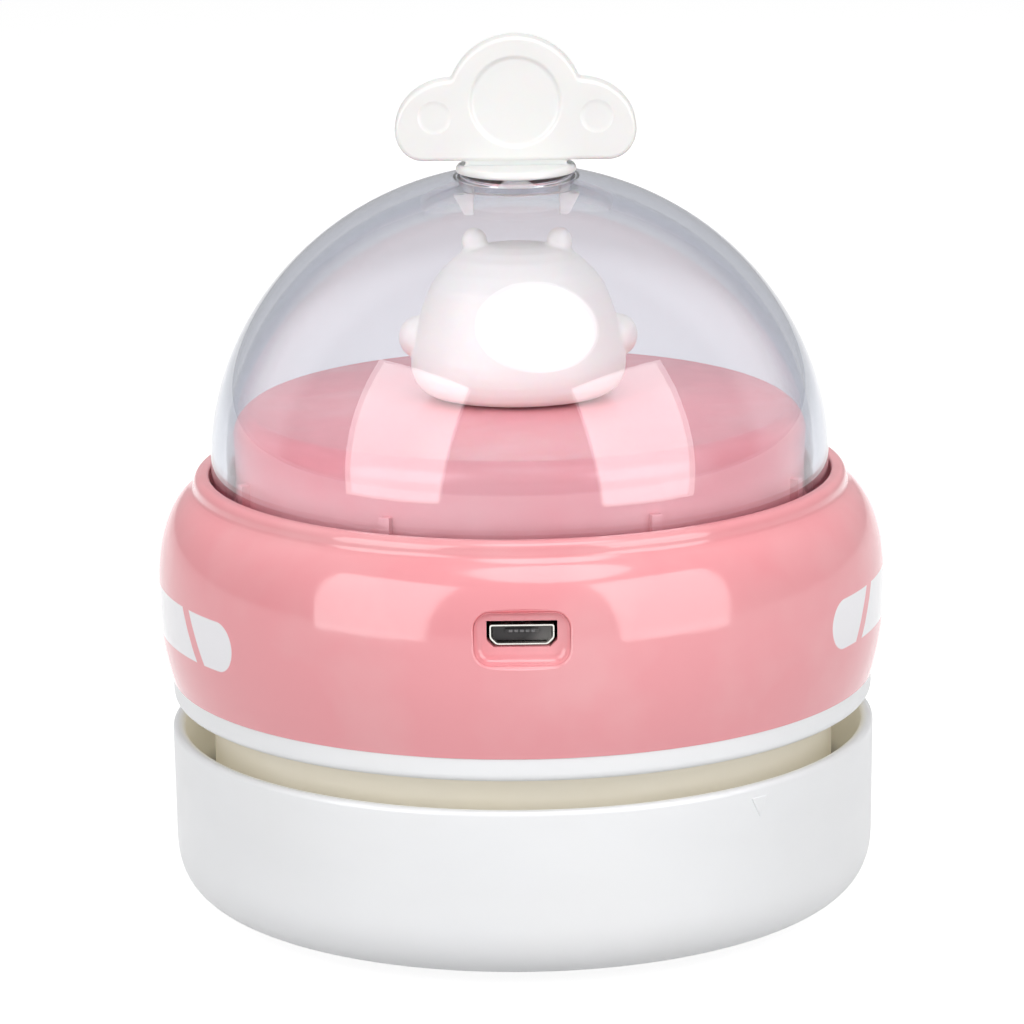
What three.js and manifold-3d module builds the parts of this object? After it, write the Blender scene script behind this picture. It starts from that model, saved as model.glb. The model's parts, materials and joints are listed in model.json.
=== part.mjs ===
// Desktop mini vacuum cleaner: a dust cup under a round pink head with a clear dome.
// Millimetres, +Z up. The origin lies under the middle of the feet, and the charging
// port faces -Y. Everything turns about the Z axis unless its own comment says otherwise.

import * as THREE from "three";
import { mergeVertices } from "three/addons/utils/BufferGeometryUtils.js";
import Module from "manifold-3d";

const wasm = await Module();
wasm.setup();

// Gaps between pieces, and how far a cutter reaches past what it cuts

const fit = 0.3;
const overrun = 1.0;
const weldTolerance = 0.0001;

// How many flat sides the round shapes get

const shellSides = 32;
const midSides = 24;
const smallSides = 12;
const screwSides = 8;

// Dust cup

const footStand = 1.6;
const cupHeight = 21.2;
const cupRimRadius = 43.0;
const cupDraft = 0.3;
const cupWall = 1.5;
const cupFloor = 2.0;
const cupCornerRun = 8.2;
const cupCornerRise = 8.2;
const cupCornerPower = 2.6;
const dustWallInset = 6.4;
const dustWallThickness = 1.4;
const seatDepth = 7.8;
const floorOpeningLedge = 5.0;
const plateRecessDepth = 1.0;
const markWidth = 2.6;
const markHeight = 2.5;
const markRelief = 0.25;
const markDrop = 1.3;
const markAngle = -50.2;

// Quarter-turn lock between the dust cup and the head

const lugCount = 3;
const lugAngle = 8;
const firstLugAngle = 30;
const lugHeight = 1.5;
const lugReach = 1.2;
const lugDrop = 1.3;
const lockTurn = 18;
const lockSlack = 1.2;
const keyAngle = 6;
const keyHeight = 0.8;

// Inlet plate, brushes, feet and their screws

const footLane = 7.5;
const plateThickness = 1.7;
const plateProud = 0.7;
const plateBossHeight = 1.6;
const inletLengthShare = 0.74;
const inletWidthShare = 0.3125;
const ductWall = 1.3;
const ductGap = 1.8;
const grooveInset = 3.1;
const grooveWidth = 2.6;
const grooveDepth = 2.4;
const brushCount = 4;
const brushGapAngle = 8;
const brushBacking = 0.9;
const strandRows = 3;
const strandsInRow = 25;
const strandRadius = 0.28;
const strandTipLift = 0.25;
const strandRoot = 0.3;
const strandSides = 3;
const footCount = 4;
const footRadiusShare = 0.467;
const footInset = 0.5;
const footChamfer = 0.4;
const plateScrewCount = 3;
const plateScrewShare = 0.52;
const plateBossRadius = 2.6;
const plateBossShare = 0.41;
const smallScrewRadius = 0.9;
const smallScrewHeadRadius = 1.8;
const smallScrewHeadHeight = 0.9;

// Filter basket

const flangeThickness = 1.0;
const basketDepth = 4.6;
const basketWall = 0.9;
const grilleThickness = 1.0;
const grilleRimWidth = 2.4;
const grilleHubShare = 0.135;
const grilleRingShare = 0.53;
const grilleRingWidth = 1.4;
const grilleSpokes = 8;
const grilleSpokeWidth = 1.4;
const filterThickness = 2.8;

// Seal ring between the basket and the head

const sealThickness = 0.7;
const sealInset = 0.8;
const sealWidth = 2.4;

// Fan housing, orifice plate and impeller

const exhaustGap = 3.4;
const skirtThickness = 1.0;
const skirtFlareReach = 0.9;
const skirtFlareDrop = 4.2;
const skirtBelowSeat = 4.0;
const chamberWall = 2.5;
const roofThickness = 1.8;
const orificeThickness = 1.2;
const orificeShare = 0.367;
const orificeLip = 0.5;
const ventCount = 16;
const ventShare = 0.363;
const ventHeight = 2.4;
const ventLift = 0.2;
const ventBlindFrom = 46;
const ventBlindTo = 90;
const impellerShare = 0.808;
const impellerPlate = 0.9;
const impellerRoofGap = 1.3;
const impellerFloorGap = 0.7;
const hubRadius = 3.6;
const hubRise = 0.7;
const bladeCount = 9;
const bladeThickness = 1.1;
const bladeInnerShare = 0.33;
const bladeSweep = 48;
const bladeSteps = 4;

// Motor

const motorRadiusShare = 0.311;
const motorLengthShare = 0.779;
const motorEdge = 0.8;
const motorBossRadius = 3.1;
const motorBossHeight = 1.5;
const motorCapInset = 1.0;
const motorCapHeight = 2.8;
const shaftRadius = 1.0;
const shaftDepth = 3.5;
const terminalShare = 0.574;
const terminalWidth = 2.6;
const terminalThickness = 0.6;
const terminalHeight = 2.4;
const motorScrewShare = 0.656;
const motorScrewDepth = 2.2;
const motorScrewSink = 0.8;

// Chassis: the white band and the floor inside the head

const bandHeight = 2.9;
const bandInset = 0.15;
const bandEdgeRound = 1.3;
const chassisFloor = 2.0;
const spigotHeight = 5.0;
const spigotThickness = 1.3;
const spigotGap = 0.6;
const motorGap = 0.4;
const postRadius = 3.0;
const postAngles = [60, 120, 240, 300];
const postHoleRadius = 1.2;
const postHoleDepth = 10.0;
const longScrewRadius = 1.0;
const longScrewHeadRadius = 2.3;
const longScrewHeadHeight = 1.0;

// Pink upper shell

const shellSetback = 0.1;
const shellBulge = 1.4;
const shellMaxRise = 9.9;
const shellWall = 1.8;
const shoulderRise = 13.4;
const shoulderRun = 8.8;
const shoulderPower = 2.6;
const lipHeight = 1.5;
const lipWidth = 1.5;
const lipSpread = 1.1;
const lipRound = 0.5;
const lipHollow = 0.25;
const shellKeep = 0.9;
const snapCount = 4;
const snapAngle = 12;
const snapHeight = 1.2;
const snapBite = 0.4;

// Clear dome

const domeInsetShare = 0.773;
const domeWall = 1.8;
const domeStraight = 2.1;
const domeRise = 34.6;
const domeRisePower = 1.9;
const domeFlangeReach = 1.7;
const domeFlangeThickness = 1.2;
const domeFlangeDrop = 3.0;
const domeHoleRadius = 6.5;
const domeCollarWall = 1.3;
const domeCollarDepth = 2.7;

// Pink deck under the dome

const deckGap = 1.1;
const deckRise = 8.0;
const deckCrown = 0.8;
const deckShoulder = 2.6;
const deckWall = 1.8;
const deckFlangeThickness = 1.4;
const ribAngles = [26, 66, 114, 154, 206, 246, 294, 334];
const ribWidth = 1.0;
const ribTopAboveLip = 1.7;

// Cloud on top of the dome

const cloudThickness = 4.0;
const cloudEdge = 0.8;
const crownLobeRadius = 8.28;
const crownLobeRise = 6.68;
const cloudHalfWidth = 14.48;
const sideLobeMiddle = 3.7;
const sideLobeTop = 9.75;
const cloudCornerWidth = 3.4;
const cloudNeckRadius = 6.05;
const cloudNeckHeight = 0.57;
const cloudFlangeRadius = 7.25;
const cloudFlangeThickness = 0.9;
const cloudDishRadius = 5.5;
const cloudDishDepth = 0.5;
const cloudDishLift = 0.42;
const cloudDimpleRadius = 2.0;
const cloudDimpleDepth = 0.25;
const cloudDimpleOffset = 9.7;
const cloudDimpleRise = 5.3;
const hookThickness = 1.1;
const hookWidth = 3.0;
const hookBarb = 1.3;
const hookBarbHeight = 2.3;

// Small figure on the deck

const figureHeightShare = 0.838;
const figureWidthShare = 0.3757;
const figureDepthShare = 0.86;
const figureEarRadius = 1.9;
const figureEarOffset = 5.1;
const figureArmRadius = 2.4;
const figureMuzzleRadius = 2.6;
const figureScrewRadius = 1.2;
const figureScrewHeadRadius = 2.6;
const figureScrewHeadHeight = 1.0;
const figureScrewLength = 7.0;

// Charging port, power button and what stands behind them

const portHeightShare = 0.635;
const portRecessWidth = 12.0;
const portRecessHeight = 6.6;
const portRecessCorner = 2.3;
const portRecessDepth = 1.8;
const portPadDepth = 1.9;
const portOpeningWidth = 8.4;
const portOpeningHeight = 3.4;
const usbWidth = 7.5;
const usbHeight = 2.7;
const usbLength = 5.6;
const usbWall = 0.35;
const usbCorner = 0.8;
const usbSetback = 0.3;
const tongueWidth = 3.9;
const tongueThickness = 0.6;
const tongueBlock = 1.6;
const tongueSetback = 0.8;
const boardWidthShare = 0.51;
const boardLengthShare = 0.316;
const boardThickness = 1.0;
const boardPostRadius = 2.1;
const boardPostShare = 0.37;
const boardPostInset = 5.0;
const boardScrewLength = 3.2;
const buttonRadiusShare = 0.338;
const buttonTravel = 1.2;
const buttonFlangeReach = 1.2;
const buttonFlangeThickness = 1.0;
const buttonGuideWall = 1.4;
const buttonGuideDepth = 1.5;
const buttonStep = 0.4;
const switchShare = 0.54;
const switchDepth = 4.5;
const switchBoardWidth = 15.0;
const switchBoardShare = 0.88;
const switchBoardThickness = 1.2;
const stemRadius = 1.6;
const stemHoleDepth = 2.4;
const railWidth = 3.0;
const railDepth = 4.0;

// Battery

const cellRadiusShare = 0.1786;
const cellMotorGap = 3.4;
const cellEndGap = 2.6;
const saddleThickness = 2.0;
const saddleFloor = 1.2;
const saddleHeight = 8.0;
const saddleSpacingShare = 0.6;
const tabThickness = 0.4;
const tabWidth = 5.0;
const tabHeight = 9.0;
const strapThickness = 0.8;
const strapWidth = 8.0;

// Leads. Each place on a route is an angle in degrees, a share of the radius inside the
// chassis wall and a share of the height from the chassis floor to the deck.

const leadRadius = 0.65;
const leadSides = 8;
const leadStep = 6.0;
const leadSpacing = 2.6;
const motorRouteShares = [[-76, 0.52, 0.54], [-66, 0.445, 0.7], [-45, 0.25, 0.92]];
const switchRouteShares = [
  [[106, 0.72, 0.35], [123, 0.62, 0.29], [152, 0.54, 0.26], [180, 0.5, 0.26], [214, 0.53, 0.33], [240, 0.62, 0.5]],
  [[101, 0.66, 0.38], [120, 0.54, 0.35], [152, 0.46, 0.32], [180, 0.42, 0.32], [214, 0.45, 0.39], [243, 0.56, 0.52]],
];

// The battery leads run in a lane inside the posts. Their places are an angle in degrees, a
// share of the lane's radius and a share of the height from the chassis floor to the lane.

const laneGap = 1.2;
const blackLaneShares = [[-52, 1.037, 1], [-63, 0.986, 1.026]];
const redLaneShares = [[-33, 0.904, 1.084], [-57, 0.904, 1.123]];

// Heights that follow from the sizes above

const cupBottom = footStand;
const cupFloorTop = cupBottom + cupFloor;
const cupRim = cupBottom + cupHeight;
const seatTop = cupRim - seatDepth;
const flangeTop = seatTop + flangeThickness;
const sealBottom = flangeTop + fit;
const sealTop = sealBottom + sealThickness;
const orificeBottom = sealTop + fit;
const orificeTop = orificeBottom + orificeThickness;
const bandBottom = cupRim + exhaustGap;
const roofBottom = bandBottom - roofThickness;
const bandTop = bandBottom + bandHeight;
const chassisTop = bandBottom + chassisFloor;
const spigotTop = chassisTop + spigotHeight;
const shellWidest = bandTop + shellMaxRise;
const crease = shellWidest + shoulderRise;
const lipTop = crease + lipHeight;
const domeFlangeTop = lipTop - domeFlangeDrop;
const domeFlangeBottom = domeFlangeTop - domeFlangeThickness;
const shoulderInside = domeFlangeTop + fit;
const deckFlangeTop = domeFlangeBottom - fit;
const deckFlangeBottom = deckFlangeTop - deckFlangeThickness;
const domeSpring = lipTop + domeStraight;
const deckEdge = lipTop + deckRise;
const deckTop = deckEdge + deckCrown;
const deckUnder = deckEdge - deckWall;
const wallRoom = deckFlangeBottom - spigotTop;
const buttonHeight = spigotTop + wallRoom / 2;
const portHeight = bandTop + (crease - bandTop) * portHeightShare;
const boardTop = portHeight - usbHeight / 2;
const boardBottom = boardTop - boardThickness;
const motorTop = bandBottom + (deckUnder - bandBottom) * motorLengthShare;
const motorCapTop = motorTop + motorCapHeight;

// Radii that follow from the cup's rim, from the outside in

const shellFootRadius = cupRimRadius - shellSetback;
const shellMaxRadius = shellFootRadius + shellBulge;
const domeRadius = shellMaxRadius - shoulderRun * domeInsetShare;
const lipInnerRadius = domeRadius + fit;
const deckRadius = domeRadius - domeWall - deckGap;
const postRingRadius = deckRadius - postRadius - fit;
const shellFootInner = shellFootRadius - shellWall;
const spigotOuter = shellFootInner - spigotGap;
const spigotInner = spigotOuter - spigotThickness;
const dustWallRadius = cupRimRadius - dustWallInset;
const flangeRadius = dustWallRadius - fit;
const sealOuterRadius = dustWallRadius - sealInset;
const skirtInner = dustWallRadius + fit;
const skirtRadius = skirtInner + skirtThickness;
const chamberRadius = skirtRadius - chamberWall;
const impellerRadius = chamberRadius * impellerShare;
const bladeInnerRadius = impellerRadius * bladeInnerShare;
const orificeRadius = impellerRadius * orificeShare;
const ventWidth = ((2 * Math.PI * skirtRadius) / ventCount) * ventShare;
const motorRadius = spigotInner * motorRadiusShare;
const motorCapRadius = motorRadius - motorCapInset;
const terminalSpacing = 2 * motorRadius * terminalShare;
const motorScrewSpacing = 2 * motorRadius * motorScrewShare;
const cellRadius = spigotInner * cellRadiusShare;
const cellOffset = motorRadius + cellMotorGap + cellRadius;
const cellLength = 2 * Math.sqrt((spigotInner - cellEndGap) ** 2 - (cellOffset + cellRadius) ** 2);
const saddleSpacing = cellLength * saddleSpacingShare;
const figureHalfWidth = deckRadius * figureWidthShare;
const portRecessFloor = shellMaxRadius - portRecessDepth;
const boardWidth = spigotInner * boardWidthShare;
const boardLength = spigotInner * boardLengthShare;
const boardPostOffset = boardWidth * boardPostShare;
const buttonRadius = wallRoom * buttonRadiusShare;
const switchSize = wallRoom * switchShare;
const switchBoardHeight = wallRoom * switchBoardShare;

// Helpers

function radians(degrees) {
  return (degrees * Math.PI) / 180;
}

function point(x, y) {
  return new THREE.Vector2(x, y);
}

function signedVolume(position, triangles) {
  const a = new THREE.Vector3();
  const b = new THREE.Vector3();
  const c = new THREE.Vector3();
  let sum = 0;
  for (const [i, j, k] of triangles) {
    a.fromBufferAttribute(position, i);
    b.fromBufferAttribute(position, j);
    c.fromBufferAttribute(position, k);
    sum += a.dot(b.cross(c)) / 6;
  }
  return sum;
}

// Turns a closed three.js geometry into a solid that can be joined and cut
function solid(geometry) {
  const bare = geometry.index ? geometry.toNonIndexed() : geometry.clone();
  bare.deleteAttribute("normal");
  bare.deleteAttribute("uv");
  const welded = mergeVertices(bare, weldTolerance);
  const index = welded.index.array;
  const triangles = [];
  for (let i = 0; i < index.length; i += 3) {
    const corner = [index[i], index[i + 1], index[i + 2]];
    if (new Set(corner).size === 3) triangles.push(corner);
  }
  if (signedVolume(welded.attributes.position, triangles) < 0) {
    for (const corner of triangles) corner.reverse();
  }
  return new wasm.Manifold(new wasm.Mesh({
    numProp: 3,
    vertProperties: new Float32Array(welded.attributes.position.array),
    triVerts: new Uint32Array(triangles.flat()),
  }));
}

function joined(parts) {
  return parts.reduce((whole, part) => whole.add(part));
}

function cut(whole, cutters) {
  return cutters.reduce((rest, cutter) => rest.subtract(cutter), whole);
}

// Makes the named mesh of one sub-part
function piece(name, body, material) {
  const mesh = body.getMesh();
  const geometry = new THREE.BufferGeometry();
  geometry.setAttribute("position", new THREE.BufferAttribute(new Float32Array(mesh.vertProperties), 3));
  geometry.setIndex(new THREE.BufferAttribute(new Uint32Array(mesh.triVerts), 1));
  geometry.computeVertexNormals();
  const result = new THREE.Mesh(geometry, material);
  result.name = name;
  return result;
}

// A closed outline of radius and height, turned about Z
function turned(outline, sides = shellSides) {
  const closed = [...outline, outline[0]];
  return solid(new THREE.LatheGeometry(closed, sides).rotateX(Math.PI / 2));
}

function disc(radius, bottom, top, sides = midSides) {
  const outline = [point(0, bottom), point(radius, bottom), point(radius, top), point(0, top)];
  return solid(new THREE.LatheGeometry(outline, sides).rotateX(Math.PI / 2));
}

function ring(inner, outer, bottom, top, sides = shellSides) {
  const outline = [point(inner, bottom), point(outer, bottom), point(outer, top), point(inner, top)];
  return turned(outline, sides);
}

function block(x0, x1, y0, y1, z0, z1) {
  const box = new THREE.BoxGeometry(x1 - x0, y1 - y0, z1 - z0);
  box.translate((x0 + x1) / 2, (y0 + y1) / 2, (z0 + z1) / 2);
  return solid(box);
}

// A flat shape raised from bottom to top
function raised(shape, bottom, top, curveSegments = 6) {
  const body = new THREE.ExtrudeGeometry(shape, { depth: top - bottom, bevelEnabled: false, curveSegments });
  return solid(body.translate(0, 0, bottom));
}

// A shape drawn in X and Z, running from front to back along Y
function alongY(shape, front, back, options = {}) {
  const body = new THREE.ExtrudeGeometry(shape, { depth: back - front, bevelEnabled: false, ...options });
  return solid(body.rotateX(Math.PI / 2).translate(0, back, 0));
}

function roundBarAlongY(radius, centreX, centreZ, front, back, sides = smallSides) {
  const bar = new THREE.CylinderGeometry(radius, radius, back - front, sides);
  return solid(bar.translate(centreX, (front + back) / 2, centreZ));
}

// Part of a flat ring, between two angles in degrees
function sector(inner, outer, from, to, bottom, top, steps = 1) {
  const shape = new THREE.Shape();
  shape.absarc(0, 0, outer, radians(from), radians(to), false);
  shape.absarc(0, 0, inner, radians(to), radians(from), true);
  shape.closePath();
  return raised(shape, bottom, top, steps);
}

function roundedRectangle(width, height, corner, centreX, centreY) {
  const shape = new THREE.Shape();
  const x = width / 2 - corner;
  const y = height / 2 - corner;
  shape.absarc(centreX + x, centreY - y, corner, -Math.PI / 2, 0, false);
  shape.absarc(centreX + x, centreY + y, corner, 0, Math.PI / 2, false);
  shape.absarc(centreX - x, centreY + y, corner, Math.PI / 2, Math.PI, false);
  shape.absarc(centreX - x, centreY - y, corner, Math.PI, 1.5 * Math.PI, false);
  shape.closePath();
  return shape;
}

// Points on a squared-off ellipse, between two angles in degrees
function squircle(centreR, centreZ, run, rise, powerR, powerZ, from, to, steps) {
  const points = [];
  for (let i = 0; i <= steps; i += 1) {
    const angle = radians(from + ((to - from) * i) / steps);
    const c = Math.cos(angle);
    const s = Math.sin(angle);
    const r = Math.sign(c) * Math.abs(c) ** (2 / powerR);
    const z = Math.sign(s) * Math.abs(s) ** (2 / powerZ);
    points.push(point(centreR + run * r, centreZ + rise * z));
  }
  return points;
}

function arc(centreR, centreZ, radius, from, to, steps) {
  return squircle(centreR, centreZ, radius, radius, 2, 2, from, to, steps);
}

function ball(radius, width = 8, height = 6) {
  return new THREE.SphereGeometry(radius, width, height);
}

// A solid turned about Z, in degrees
function spun(body, degrees) {
  return body.transform(new THREE.Matrix4().makeRotationZ(radians(degrees)).toArray());
}

function moved(body, x, y, z) {
  return body.transform(new THREE.Matrix4().makeTranslation(x, y, z).toArray());
}

// Copies of one solid, turned about Z to each angle
function around(body, angles) {
  return angles.map((angle) => spun(body, angle));
}

function evenAngles(count, first = 0) {
  return Array.from({ length: count }, (unused, i) => first + (360 * i) / count);
}

// A pan-head screw, head down, its head's underside at z = 0 and its shank above
function screw(shankRadius, headRadius, headHeight, length) {
  return turned([
    point(0, -headHeight),
    point(headRadius, -headHeight),
    point(headRadius, 0),
    point(shankRadius, 0),
    point(shankRadius, length),
    point(0, length),
  ], screwSides);
}

function material(color, roughness, metalness = 0, extra = {}) {
  return new THREE.MeshStandardMaterial({ color, roughness, metalness, ...extra });
}

// Materials

const pinkPlastic = material(0xe9a0a8, 0.22);
const whitePlastic = material(0xeef0f2, 0.3);
const creamPlastic = material(0xece4d2, 0.4);
const clearPlastic = material(0xdfe4f0, 0.08, 0, { transparent: true, opacity: 0.3 });
const figurePlastic = material(0xf4efe9, 0.45);
const greyRubber = material(0xc9ccd0, 0.8);
const bristleNylon = material(0xf2f2ee, 0.6);
const filterFoam = material(0xd9dcdc, 0.95);
const steel = material(0xb9bcc0, 0.3, 1);
const gold = material(0xd9b25a, 0.3, 1);
const blackPlastic = material(0x1c1a1b, 0.5);
const boardGreen = material(0x2f6b45, 0.6);
const cellBlue = material(0x5e7fb8, 0.4);
const redLead = material(0xb8292b, 0.5);
const blackLead = material(0x222224, 0.5);

// Dust cup: the white bowl, with the inner wall that carries the filter and the head

const cupBaseRadius = cupRimRadius - cupDraft;
const cupFlatRadius = cupBaseRadius - cupCornerRun;
const plateRadius = cupFlatRadius - footLane;
const plateRecessRadius = plateRadius + fit;
const floorOpeningRadius = plateRadius - floorOpeningLedge;
const plateScrewRingRadius = floorOpeningRadius + floorOpeningLedge * plateScrewShare;
const footRadius = footLane * footRadiusShare;
const footRingRadius = (plateRecessRadius + cupFlatRadius) / 2;
const basketBottom = seatTop - basketDepth;
const plateBossHigh = cupFloorTop + (basketBottom - cupFloorTop) * plateBossShare;
const plateBossHoleTop = plateBossHigh - cupWall;
const lugMiddles = evenAngles(lugCount, firstLugAngle);
const lugTop = seatTop - lugDrop;
const lugBottom = lugTop - lugHeight;
const keyMiddles = evenAngles(lugCount, 90);
const plateScrewAngles = evenAngles(plateScrewCount, 90);
const footAngles = evenAngles(footCount, 45);
const recessCeiling = cupBottom + plateRecessDepth;

function dustCup() {
  const rimRound = cupWall / 2;
  const outer = squircle(cupFlatRadius, cupBottom + cupCornerRise, cupCornerRun, cupCornerRise,
    cupCornerPower, cupCornerPower, -90, 0, 6);
  const rim = arc(cupRimRadius - rimRound, cupRim - rimRound, rimRound, 0, 180, 3);
  const inner = squircle(cupFlatRadius, cupBottom + cupCornerRise, cupCornerRun - cupWall,
    cupCornerRise - cupFloor, cupCornerPower, cupCornerPower, 0, -90, 4);
  const bowl = turned([
    point(floorOpeningRadius, recessCeiling),
    point(plateRecessRadius, recessCeiling),
    point(plateRecessRadius, cupBottom),
    ...outer,
    ...rim,
    ...inner,
    point(floorOpeningRadius, cupFloorTop),
  ]);
  const wallInner = dustWallRadius - dustWallThickness;
  const wallFoot = cupFloorTop - cupFloor / 2;
  const dustWall = ring(wallInner, dustWallRadius, wallFoot, seatTop);
  const lug = sector(dustWallRadius - dustWallThickness / 2, dustWallRadius + lugReach,
    -lugAngle / 2, lugAngle / 2, lugBottom, lugTop);
  const key = sector(wallInner, dustWallRadius, -keyAngle / 2, keyAngle / 2,
    seatTop - dustWallThickness, seatTop + keyHeight);
  const boss = moved(disc(plateBossRadius, recessCeiling, plateBossHigh, screwSides),
    plateScrewRingRadius, 0, 0);
  const bossHole = moved(
    disc(smallScrewRadius + fit / 2, recessCeiling - overrun, plateBossHoleTop, screwSides),
    plateScrewRingRadius, 0, 0);
  const footPocket = moved(
    disc(footRadius + fit, cupBottom - overrun, cupBottom + footInset, smallSides), footRingRadius, 0, 0);
  const body = joined([
    bowl,
    dustWall,
    alignmentMark(),
    ...around(lug, lugMiddles),
    ...around(key, keyMiddles),
    ...around(boss, plateScrewAngles),
  ]);
  return piece("dust_cup", cut(body, [
    ...around(bossHole, plateScrewAngles),
    ...around(footPocket, footAngles),
  ]), whitePlastic);
}

// The raised triangle near the cup's rim that lines up the head, pointing down
function alignmentMark() {
  const top = cupRim - markDrop;
  const shape = new THREE.Shape();
  shape.moveTo(-markWidth / 2, top);
  shape.lineTo(0, top - markHeight);
  shape.lineTo(markWidth / 2, top);
  shape.closePath();
  const face = cupRimRadius + markRelief;
  return spun(alongY(shape, -face, -face + cupWall), markAngle + 90);
}

// Inlet plate: the disc under the cup, with the suction slot, its duct and the brush groove

const plateBottom = cupBottom - plateProud;
const plateTop = plateBottom + plateThickness;
const plateBossTop = plateTop + plateBossHeight;
const ductTop = basketBottom - ductGap;
const grooveTop = plateBottom + grooveDepth;
const grooveMidRadius = floorOpeningRadius - grooveInset;
const grooveInner = grooveMidRadius - grooveWidth / 2;
const inletLength = 2 * grooveInner * inletLengthShare;
const inletWidth = 2 * grooveInner * inletWidthShare;

function inletShape(grow) {
  const length = inletLength + 2 * grow;
  const width = inletWidth + 2 * grow;
  return roundedRectangle(length, width, width / 2, 0, 0);
}

function inletPlate() {
  const bossRadius = floorOpeningRadius - fit;
  const grooveOuter = grooveMidRadius + grooveWidth / 2;
  const plate = turned([
    point(0, plateBottom),
    point(grooveInner, plateBottom),
    point(grooveInner, grooveTop),
    point(grooveOuter, grooveTop),
    point(grooveOuter, plateBottom),
    point(plateRadius, plateBottom),
    point(plateRadius, plateTop),
    point(bossRadius, plateTop),
    point(bossRadius, plateBossTop),
    point(0, plateBossTop),
  ], midSides);
  const duct = raised(inletShape(ductWall), plateBossTop - ductWall, ductTop, 2);
  const slot = raised(inletShape(0), plateBottom - overrun, ductTop + overrun, 2);
  const hole = moved(disc(smallScrewRadius + fit, plateBottom - overrun, plateTop + overrun, screwSides),
    plateScrewRingRadius, 0, 0);
  const sink = moved(
    disc(smallScrewHeadRadius + fit, plateBottom - overrun, plateBottom + smallScrewHeadHeight, screwSides),
    plateScrewRingRadius, 0, 0);
  return piece("inlet_plate", cut(plate.add(duct), [
    slot,
    ...around(hole, plateScrewAngles),
    ...around(sink, plateScrewAngles),
  ]), whitePlastic);
}

// One curved brush: nylon strands fused to a strip that lies in the groove
function brushBody() {
  const half = (360 / brushCount - brushGapAngle) / 2;
  const reach = grooveWidth / 2 - fit;
  const backingBottom = grooveTop - brushBacking;
  const backing = sector(grooveMidRadius - reach, grooveMidRadius + reach, -half, half,
    backingBottom, grooveTop, 4);
  const bottom = strandTipLift;
  const top = backingBottom + strandRoot;
  const strand = solid(new THREE.ConeGeometry(strandRadius, top - bottom, strandSides)
    .rotateX(-Math.PI / 2)
    .translate(0, 0, (top + bottom) / 2));
  const rowStep = (2 * (reach - 2 * strandRadius)) / (strandRows - 1);
  const angleStep = (2 * half) / strandsInRow;
  const strands = [];
  for (let row = 0; row < strandRows; row += 1) {
    const radius = grooveMidRadius + (row - (strandRows - 1) / 2) * rowStep;
    for (let i = 0; i < strandsInRow; i += 1) {
      const angle = -half + (i + 0.5) * angleStep;
      strands.push(spun(moved(strand, radius, 0, 0), angle));
    }
  }
  return joined([backing, ...strands]);
}

function brushes() {
  const body = brushBody();
  return evenAngles(brushCount).map((angle, i) =>
    piece(`brush_arc_${i + 1}`, spun(body, angle), bristleNylon));
}

function footPads() {
  const top = cupBottom + footInset;
  const pad = turned([
    point(0, 0),
    point(footRadius - footChamfer, 0),
    point(footRadius, footChamfer),
    point(footRadius, top),
    point(0, top),
  ], smallSides);
  return footAngles.map((angle, i) =>
    piece(`foot_pad_${i + 1}`, spun(moved(pad, footRingRadius, 0, 0), angle), greyRubber));
}

function plateScrews() {
  const length = plateBossHoleTop - fit - plateBottom - smallScrewHeadHeight;
  const body = screw(smallScrewRadius, smallScrewHeadRadius, smallScrewHeadHeight, length);
  return plateScrewAngles.map((angle, i) =>
    piece(`plate_screw_${i + 1}`,
      spun(moved(body, plateScrewRingRadius, 0, plateBottom + smallScrewHeadHeight), angle), steel));
}

// Filter basket: a grilled bowl whose flange rests on the cup's inner wall

const basketRadius = dustWallRadius - dustWallThickness - fit;
const grilleTop = basketBottom + grilleThickness;

function filterFrame() {
  const inner = basketRadius - basketWall;
  const basket = turned([
    point(0, basketBottom),
    point(basketRadius, basketBottom),
    point(basketRadius, seatTop),
    point(flangeRadius, seatTop),
    point(flangeRadius, flangeTop),
    point(inner, flangeTop),
    point(inner, grilleTop),
    point(0, grilleTop),
  ], midSides);
  const low = basketBottom - overrun;
  const high = grilleTop + overrun;
  const bands = [
    [inner * grilleHubShare, inner * grilleRingShare - grilleRingWidth / 2],
    [inner * grilleRingShare + grilleRingWidth / 2, inner - grilleRimWidth],
  ];
  const openings = [];
  for (const [from, to] of bands) {
    const window = bandWindow(from, to, low, high);
    openings.push(...around(window, evenAngles(grilleSpokes)));
  }
  const notch = sector(basketRadius + fit, flangeRadius + overrun, -keyAngle / 2 - 1, keyAngle / 2 + 1,
    seatTop - overrun, flangeTop + overrun);
  return piece("filter_frame", cut(basket, [...openings, ...around(notch, keyMiddles)]), whitePlastic);
}

// One grille window between two rings, with sides parallel to its spokes
function bandWindow(inner, outer, low, high) {
  const half = 180 / grilleSpokes;
  const wedge = sector(inner, outer, -half, half, low, high, 2);
  const spoke = block(0, outer + overrun, -grilleSpokeWidth / 2, grilleSpokeWidth / 2,
    low - overrun, high + overrun);
  return cut(wedge, [spun(spoke, -half), spun(spoke, half)]);
}

function filterPad() {
  const radius = basketRadius - basketWall - fit;
  const bottom = grilleTop + fit;
  return piece("filter_pad", disc(radius, bottom, bottom + filterThickness), filterFoam);
}

function sealRing() {
  const body = ring(sealOuterRadius - sealWidth, sealOuterRadius, sealBottom, sealTop, midSides);
  return piece("seal_ring", body, greyRubber);
}

// Fan housing: the cream drum with exhaust windows and three bayonet slots

const skirtBottom = seatTop - skirtBelowSeat;
const flareBottom = bandBottom - skirtFlareDrop;
const orificeRadiusOuter = skirtInner - fit;
const ventBottom = orificeTop + ventLift;
const motorScrewAngles = [0, 180];
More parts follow.
